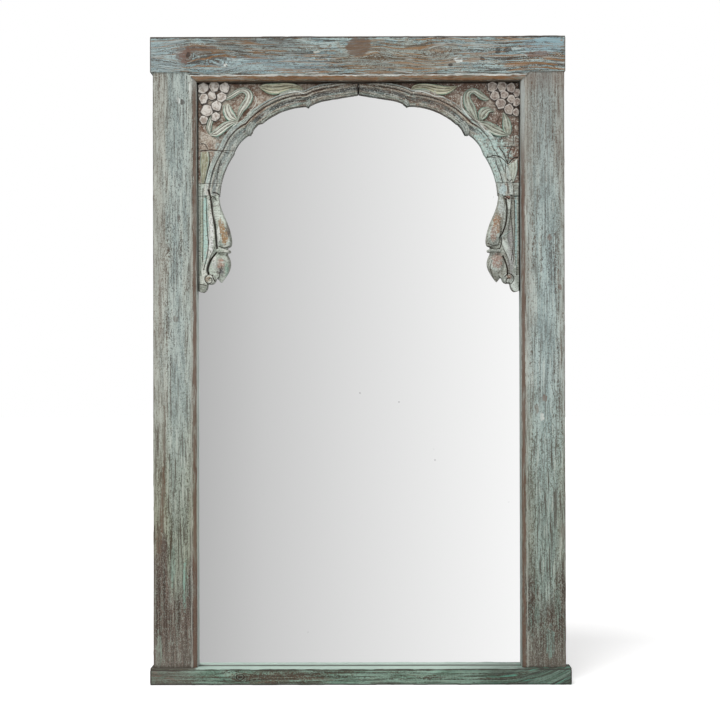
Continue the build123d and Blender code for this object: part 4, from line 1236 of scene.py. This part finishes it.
def petal_paint(name, cream, brown):
    """A petal's worn paint: cream with brown rubbed through, a painted highlight ring on its slope, and
    painted shade where it meets the next.
    """
    material, tree, surface = empty_material(name)
    place = along_grain(tree)
    blotch = noise(place, 90, 4, 0.6)
    fleck = noise(place, 220, 3)
    unrolled = put(tree, "UVMap", uv_map="UVMap").outputs[0]
    outward = plus(axes(unrolled)[1], total((blotch, 0.10)))
    colour = layered(
        tint(span(blotch, 0.44, 0.62), srgb(*cream), srgb(*brown)),
        ((222, 218, 210), span(fleck, 0.56, 0.68), 0.45),
        ((84, 72, 66), span(fleck, 0.44, 0.34), 0.4),
        # A pale ring on the petal's slope is a painted highlight, and the dark below it, where petals meet,
        # is painted shade.
        ((220, 218, 210), span(outward, 0.80, 0.74), 0.35),
        ((66, 58, 54), span(outward, 0.71, 0.65), 0.9),
    )
    finish_wood(surface, colour, span(fleck, 0.3, 0.7, 0.8, 0.62), fleck, 0.8 * MM, 0.5)
    return material


# Leaves: two edges from stalk to tip in pixels, height in millimetres, number of ribs.
LEFT_LEAVES = {
    "hook": (
        [
            (238, 121), (238, 120), (243, 112), (249, 105), (252.5, 97), (250, 90.5), (243, 87.5),
            (235, 90.5), (229, 95), (221, 99.5),
        ],
        [
            (237, 119), (237.3, 116), (238.5, 110), (242, 103), (245.5, 97), (244.5, 93), (240, 92.5),
            (235, 96), (229, 99), (222, 100.5),
        ],
        7.0, 2,
    ),
    "small": (
        [(236, 121), (228, 120), (223.5, 113), (224, 106), (227, 103.5)],
        [(237.5, 119), (234, 113.5), (231.5, 109), (230, 106), (228.5, 104)], 6.5, 3,
    ),
    "lower": (
        [(238, 119.5), (232, 120.5), (225, 122), (219, 126), (214, 130.5), (209, 133.5)],
        [(238, 122), (233, 124.5), (228, 128), (223, 132.5), (217, 136), (211, 135.5)], 7.0, 3,
    ),
    "rising": (
        [(209, 134), (206.5, 128), (208, 121), (211, 116), (214, 112)],
        [(210.5, 133.5), (211, 128), (212, 123), (214, 118), (215.5, 112.5)], 5.5, 2,
    ),
    "top": (
        [(305, 91), (300, 86.5), (294, 83.8), (285, 83), (275, 83.4), (264, 84), (259.5, 86)],
        [(304.5, 91.5), (299, 89.5), (291, 89), (284, 91.5), (277, 93.6), (269, 93.2), (260, 88)], 6.5, 4,
    ),
}
RIGHT_LEAVES = {
    "hook": (
        [
            (476, 121), (474, 120), (468, 112), (464.5, 105), (463.7, 98), (465.5, 92), (470, 89),
            (476, 88.8), (482, 92.5), (489, 98),
        ],
        [
            (478, 119), (477, 115), (475, 107), (471.5, 100.5), (470, 95.5), (471.5, 93.3), (474.5, 93.6),
            (479, 97.5), (484, 99.8), (489, 99.5),
        ],
        7.0, 2,
    ),
    "small": (
        [(479, 120), (478.5, 113), (481.5, 108.3), (487, 107.2), (492, 109), (494.5, 111.3)],
        [(482, 120), (486, 117), (488, 114), (489, 112.3), (491.5, 111.3), (494, 111.8)], 6.5, 3,
    ),
    "lower": (
        [(478, 121), (483, 121), (489, 122), (495, 125), (501, 128.5), (508, 134)],
        [(478, 123.5), (484, 127), (489, 131.5), (494, 134.5), (501, 136), (508, 135)], 7.0, 3,
    ),
    "rising": (
        [(510.5, 134), (511.5, 128), (510, 121), (507, 116), (504, 112)],
        [(506, 134.5), (503.5, 129), (503, 122), (503.3, 116), (503, 112.5)], 5.5, 2,
    ),
    "top": (
        [(411, 89), (413, 86), (418, 84), (425, 83.5), (435, 84.5), (445, 86.2), (452, 86.2), (457, 85.5)],
        [(411, 90), (416, 89), (424, 88.7), (430, 90.5), (436, 93.6), (443, 94), (450, 92), (457, 86.5)],
        6.5, 4,
    ),
}
# Petals: middle across and down, half size across and up, all in pixels.
LEFT_PETALS = (
    (203, 88, 5.4, 6.0), (214, 86.5, 5.4, 5.6), (224.5, 87.5, 5.6, 5.8), (211.5, 95.5, 4.8, 5.0),
    (221.5, 97, 5.0, 5.4), (203.5, 98.5, 4.6, 5.6), (216.5, 105.5, 5.6, 5.8), (206.8, 110.5, 6.4, 6.6),
    (215.5, 116.5, 4.2, 5.0), (203.5, 119.5, 4.4, 4.6),
)
RIGHT_PETALS = (
    (492.5, 86.5, 5.4, 5.6), (502, 86.5, 5.2, 5.4), (511, 87.5, 5.0, 5.4), (495, 95.5, 5.2, 5.2),
    (504.5, 94.5, 4.2, 4.4), (500.8, 103.5, 5.4, 5.6), (509, 109, 5.2, 6.0), (511.5, 99, 4.6, 5.0),
    (517, 102, 3.8, 5.0), (517, 92.5, 3.6, 4.6), (516, 112, 3.6, 4.4),
)
# Lips at the cusps, and folds of the haunches further down: two edges in pixels.
LEFT_LIPS = (
    (
        [(256.4, 123.4), (252.8, 127.4), (250.8, 131.4), (249.8, 134)],
        [(251, 121), (247.4, 125.4), (245.8, 129.6), (246.8, 134)],
    ),
    ([(311.5, 102.4), (309.6, 103.8), (308, 106.3)], [(309.6, 98.4), (306.4, 101.6), (306.2, 105.4)]),
)
RIGHT_LIPS = (
    (
        [(459, 123.4), (462.4, 127.4), (464.4, 131.4), (465.6, 134)],
        [(464.4, 120.6), (467.6, 125), (469.4, 129.4), (468.4, 134)],
    ),
    ([(403.4, 102.4), (405.4, 103.8), (407, 105.6)], [(405.4, 98.4), (408.6, 101.4), (408.8, 104.8)]),
)
# Cut lines: places in pixels, half width and depth in millimetres. A ridge is below 0.
# Ridges are coloured pale as painted highlights, and grooves dark as painted shade.
CENTRE_SEAM = ([(358.3, 84), (358.3, 92), (358.3, 100)], 2.6, 4.5)
LEFT_CUTS = [
    ([(201, 150.5), (210, 149.8), (219, 151), (229, 153)], 1.6, 1.6),
    ([(255, 96), (256, 102), (252.6, 108), (247, 114)], 2.4, -0.8),
    ([(226, 130.5), (231, 127.5), (236, 124.2)], 2.8, -0.8),
    ([(289, 92.6), (297, 91.8), (304, 93.6)], 2.6, -0.8),
    ([(208.6, 152), (209.4, 162), (207.2, 173), (204.6, 183)], 2.0, 2.2),
    ([(201, 143.5), (204.5, 144), (207.5, 148.5)], 1.8, 1.8),
    ([(216, 151), (210.5, 164), (205.8, 176), (204.6, 183)], 2.0, -1.2),
    ([(216.6, 186), (217.4, 172), (221, 160)], 1.6, 1.4),
    (
        [
            (208.5, 190), (210.5, 197), (211.3, 204), (212.3, 212), (213.7, 220), (215, 228), (216, 240),
            (216.8, 248),
        ],
        3.2, 5.0,
    ),
    ([(206.6, 200), (206.4, 215), (207, 230), (208.2, 245), (206.5, 258), (203.5, 270)], 2.0, 1.7),
    ([(202.6, 188), (202.6, 215), (202.8, 240), (202.2, 262)], 1.8, 1.1),
    ([(199.6, 186), (199.6, 292)], 1.4, 1.2), ([(213, 192), (217.5, 193.5), (220, 196)], 2.2, 2.6),
    ([(209, 200), (213, 196.5), (216, 200)], 1.8, 1.8),
    ([(218.5, 246), (224, 248), (230, 245.5)], 1.8, 1.8),
    ([(216.5, 243), (223, 244.4), (230, 241.5)], 1.6, -1.2),
    ([(216, 252.5), (211.5, 258), (208.6, 264), (207.2, 270), (208.2, 273.5)], 3.8, 6.0),
    ([(212.4, 275), (213.8, 279.5), (217, 284)], 2.2, 3.0),
    ([(222, 266), (219.6, 273), (217.6, 281)], 1.4, 1.0),
    (
        [(213, 276), (208.5, 274.6), (204.6, 279), (208, 284), (212, 281.5), (211, 278), (208.6, 279.4)],
        1.7, 2.2,
    ),
    ([(199.5, 284.4), (206.5, 285.4)], 1.6, 1.6), dot(218, 172, 2.0), dot(219.5, 195.5, 2.4),
]
RIGHT_CUTS = [
    ([(415, 91.2), (421, 91.4), (428, 93.4), (436, 96.4), (444, 96.8)], 2.6, -0.8),
    ([(461.6, 96), (461.4, 104), (464.6, 111.5), (470.5, 119)], 2.6, -0.8),
    ([(481, 126), (486, 131), (492, 136.2), (499, 138.6)], 2.6, -0.8),
    ([(502, 146.6), (510, 146.4), (518, 146.8)], 1.5, 1.6),
    ([(506, 166), (511, 166.2), (516, 166)], 1.5, 1.6),
    (
        [(486, 158), (493, 155.5), (499, 156.5), (504, 160), (508, 163.5), (513, 158.5), (518, 157)],
        2.0, 2.2,
    ),
    ([(500, 148), (504, 153), (507.6, 162.5)], 1.8, 1.8),
    ([(512, 146), (509, 154), (508, 162.5)], 1.8, 1.8), ([(496, 162), (500, 172), (503, 182)], 1.8, 1.6),
    ([(505.5, 164), (506, 176), (509.5, 181.5), (513, 176), (513.5, 166)], 1.8, 1.6),
    ([(513.5, 122), (513.5, 132), (514, 144)], 1.4, 1.2), ([(499, 127), (497, 123), (500, 116)], 1.6, 1.6),
    dot(488, 156, 2.0), dot(492, 168.5, 2.0), dot(498.4, 193.5, 2.6),
    ([(514.5, 196), (519, 196)], 1.5, 2.0), ([(504.5, 196), (509.5, 199)], 2.4, 2.4),
    ([(506, 199), (507, 207), (507, 215), (505.6, 225), (502.5, 233), (499.5, 238)], 3.2, 4.8),
    ([(501.4, 237), (501.8, 242), (500, 249)], 2.0, 2.4),
    ([(498, 239), (504, 235), (511, 230.5)], 2.0, -1.6),
    ([(511.2, 200), (511.2, 215), (512.8, 230), (513.6, 245), (511.5, 260)], 1.6, 1.8),
    ([(514.8, 200), (515.2, 225), (515, 245), (513.4, 262)], 1.5, 1.6),
    ([(488, 243), (493, 245.4), (499.5, 244.4)], 1.5, 1.4),
    ([(489.5, 247), (495, 249), (500, 248)], 1.7, 2.0),
    ([(503.4, 256), (506, 262), (508, 270), (507.4, 275)], 3.2, 4.6),
    ([(492, 260), (490.5, 268), (494, 278)], 1.5, 1.0),
    (
        [
            (505, 276.5), (508.4, 273.6), (512.6, 275.4), (514, 279.5), (510.4, 284.2), (506.4, 282.4),
            (507, 278.8), (509.6, 278),
        ],
        1.7, 2.4,
    ),
    ([(519.2, 186), (519.4, 240), (519.6, 292)], 1.3, 2.6),
]
LEFT_FOLDS = (
    ([(201, 152), (200.4, 166), (201.6, 183)], [(207.6, 151.6), (208.6, 160), (206.4, 172), (203.8, 183)]),
)
RIGHT_FOLDS = (
    ([(500, 158), (503, 170), (506.4, 182)], [(507, 164), (508, 174), (507.8, 182)]),
    ([(509, 165), (509.6, 174), (509, 182)], [(517, 159), (517, 171), (513.4, 182)]),
)
leaf_olive = leaf_paint("leaf_olive", (190, 188, 162), (144, 172, 150), (82, 74, 58))
lip_grey = leaf_paint("lip_grey", (148, 156, 150), (168, 180, 174), (86, 84, 76))
# In each carved paint, the last of the five colours is laid on raised ridges as a painted highlight.
SIDES = {
    "left": {
        "paint": carved_paint(
            "left_carved", (118, 92, 76), (182, 172, 158), (140, 148, 138), (178, 182, 172),
            (212, 218, 210), cover=-0.10, hazy=0.54, marks=LEFT_MARKS,
        ),
        "bloom": carved_paint(
            "left_pendant", (186, 196, 184), (208, 216, 206), (150, 158, 146), (200, 204, 194),
            (184, 204, 194), cover=0.2, hazy=0.5, marks=LEFT_BLOOM_MARKS,
        ),
        "leaf": leaf_paint("leaf_left", (206, 208, 196), (148, 184, 168), (84, 76, 64)),
        "fold": leaf_paint("fold_olive", (154, 154, 130), (176, 190, 176), (118, 114, 90)),
        "petal": petal_paint("petal_left", (208, 203, 195), (156, 144, 134)),
        "leaves": LEFT_LEAVES, "petals": LEFT_PETALS, "lips": LEFT_LIPS, "cuts": LEFT_CUTS,
        "folds": LEFT_FOLDS, "scoops": (((261.6, 131.8), 9.6),),
    },
    "right": {
        "paint": carved_paint(
            "right_carved", (110, 88, 76), (160, 152, 140), (138, 146, 138), (170, 176, 168),
            (208, 214, 208), cover=-0.10, hazy=0.42, marks=RIGHT_MARKS,
        ),
        "bloom": carved_paint(
            "right_pendant", (146, 148, 138), (172, 178, 168), (140, 146, 138), (192, 200, 192),
            (166, 186, 180), cover=0.25, hazy=0.5, marks=RIGHT_BLOOM_MARKS,
        ),
        "leaf": leaf_paint("leaf_right", (168, 174, 160), (132, 164, 150), (74, 66, 56)),
        "fold": leaf_paint("fold_pale", (176, 184, 172), (198, 208, 198), (140, 138, 124)),
        "petal": petal_paint("petal_right", (160, 150, 140), (124, 110, 102)),
        "leaves": RIGHT_LEAVES, "petals": RIGHT_PETALS, "lips": RIGHT_LIPS, "cuts": RIGHT_CUTS,
        "folds": RIGHT_FOLDS, "scoops": (((453.6, 131.8), 9.6),),
    },
}


def make_spandrel(node, side):
    """The upper carved piece of one side, with its leaves, its petals and the lips at its cusps."""
    body = worn_copy(node, VOXEL, clear_field, side["scoops"])
    weather(body, node + "_field", 0.012, (1, 1, 1), FIELD_WEAR)
    carve(body, side["cuts"] + [CENTRE_SEAM])
    painted(body, side["paint"])
    pieces = [body]
    for label, (*edges, height, ribs) in side["leaves"].items():
        paint = leaf_olive if label == "top" else side["leaf"]
        pieces.append(leaf(edges, height * MM * LEAF_RISE, ribs, paint))
    for i, (x, y, across, up) in enumerate(side["petals"]):
        height, turn = PETAL_HEIGHTS[i % len(PETAL_HEIGHTS)], PETAL_TURNS[i % len(PETAL_TURNS)]
        pieces.append(petal((x, y), across, up, height, turn, side["petal"]))
    pieces += [leaf(edges, LIP_HEIGHT, 1, lip_grey, LIP_SINK, *LIP_GRID) for edges in side["lips"]]
    return joined(pieces)


for label, side in SIDES.items():
    dressed(make_spandrel(label + "_spandrel", side), label + "_spandrel")
    haunch = worn_copy(label + "_haunch", VOXEL)
    carve(haunch, side["cuts"])
    painted(haunch, side["paint"])
    folds = [leaf(edges, FOLD_HEIGHT, 1, side["fold"]) for edges in side["folds"]]
    dressed(joined([haunch] + folds), label + "_haunch")
    pendant = worn_copy(label + "_pendant", PENDANT_VOXEL)
    carve(pendant, side["cuts"])
    painted(pendant, side["bloom"])
    dressed(pendant, label + "_pendant")

# Mirror glass: one clean silvered sheet, standing on its packers and held by the board
# behind it. Its edges are ground, and a few small spots have bloomed in the silver.
SILVER = (0.96, 0.962, 0.96, 1)
SPOT_GREY = (0.16, 0.16, 0.16, 1)
SPOT_SIZE = (1.4 * MM, MARK_DEPTH, 1.2 * MM)
SPOT_PIXELS = ((399, 402), (435, 460), (360, 393))
GLASS_ROUGHNESS = 0.015
material, tree, surface = empty_material("silvered_glass")
place = put(tree, "TexCoord").outputs["Object"]
glass_y = PLACES["mirror_glass"][0].y
spots = either(
    span(noise(place, 130, 1), 0.83, 0.85),
    *(patch(place, on_plane(pixel, glass_y), SPOT_SIZE, 0.1) for pixel in SPOT_PIXELS),
)
sockets = {"Base Color": tint(spots, SILVER, SPOT_GREY), "Metallic": 1.0, "Roughness": GLASS_ROUGHNESS}
tree.links.new(put(tree, "BsdfPrincipled", sockets).outputs[0], surface)
painted(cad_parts["mirror_glass"], material)

# Backing board: a sheet of thin brown hardboard, let in flush with the back of the frame and
# screwed all round, so that no dust gets behind the glass.
material, tree, surface = empty_material("board_brown")
place = along_grain(tree)
fibres = noise(place, 260, 4, 1.0)
colour = layered(
    tint(span(fibres, 0.35, 0.68), srgb(104, 78, 54), srgb(142, 110, 80)),
    ((86, 66, 48), span(noise(place, 4, 4), 0.5, 0.68), 0.35),
)
finish_wood(surface, colour, span(fibres, 0.3, 0.7, 0.85, 0.7), fibres, 0.3 * MM)
painted(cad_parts["backing_board"], material)

# Hanger plates and screws: pressed steel plates let into the backs of the posts, and
# countersunk steel screws, all dulled by handling, with a little rust in the scratches.
SCRATCH_DEPTH = 0.1 * MM


def steel(name, bright, rust_amount):
    """Dull zinc-plated steel with fine scratches and rust spots."""
    material, tree, surface = empty_material(name)
    place = along_grain(tree, (2, 1, 0))
    scratch = noise(place, (30, 900, 900), 3)
    rust = span(noise(place, 140, 4), 0.66 - rust_amount, 0.74 - rust_amount)
    colour = layered(
        tint(span(scratch, 0.35, 0.65), srgb(*bright), srgb(120, 120, 118)), ((104, 66, 42), rust, 0.8),
    )
    relief = {"Strength": 0.3, "Distance": SCRATCH_DEPTH, "Height": scratch}
    sockets = {
        "Base Color": colour, "Roughness": span(scratch, 0.3, 0.7, 0.5, 0.36),
        "Metallic": span(rust, 0, 1, 1, 0.1), "Normal": put(tree, "Bump", relief).outputs[0],
    }
    tree.links.new(put(tree, "BsdfPrincipled", sockets).outputs[0], surface)
    return material


for names, metal in (
    (("left_hanger_plate", "right_hanger_plate"), steel("plate_zinc", (170, 170, 166), 0.04)),
    (("board_screws", "hanger_screws"), steel("screw_zinc", (150, 148, 140), 0.08)),
):
    for name in names:
        painted(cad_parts[name], metal)
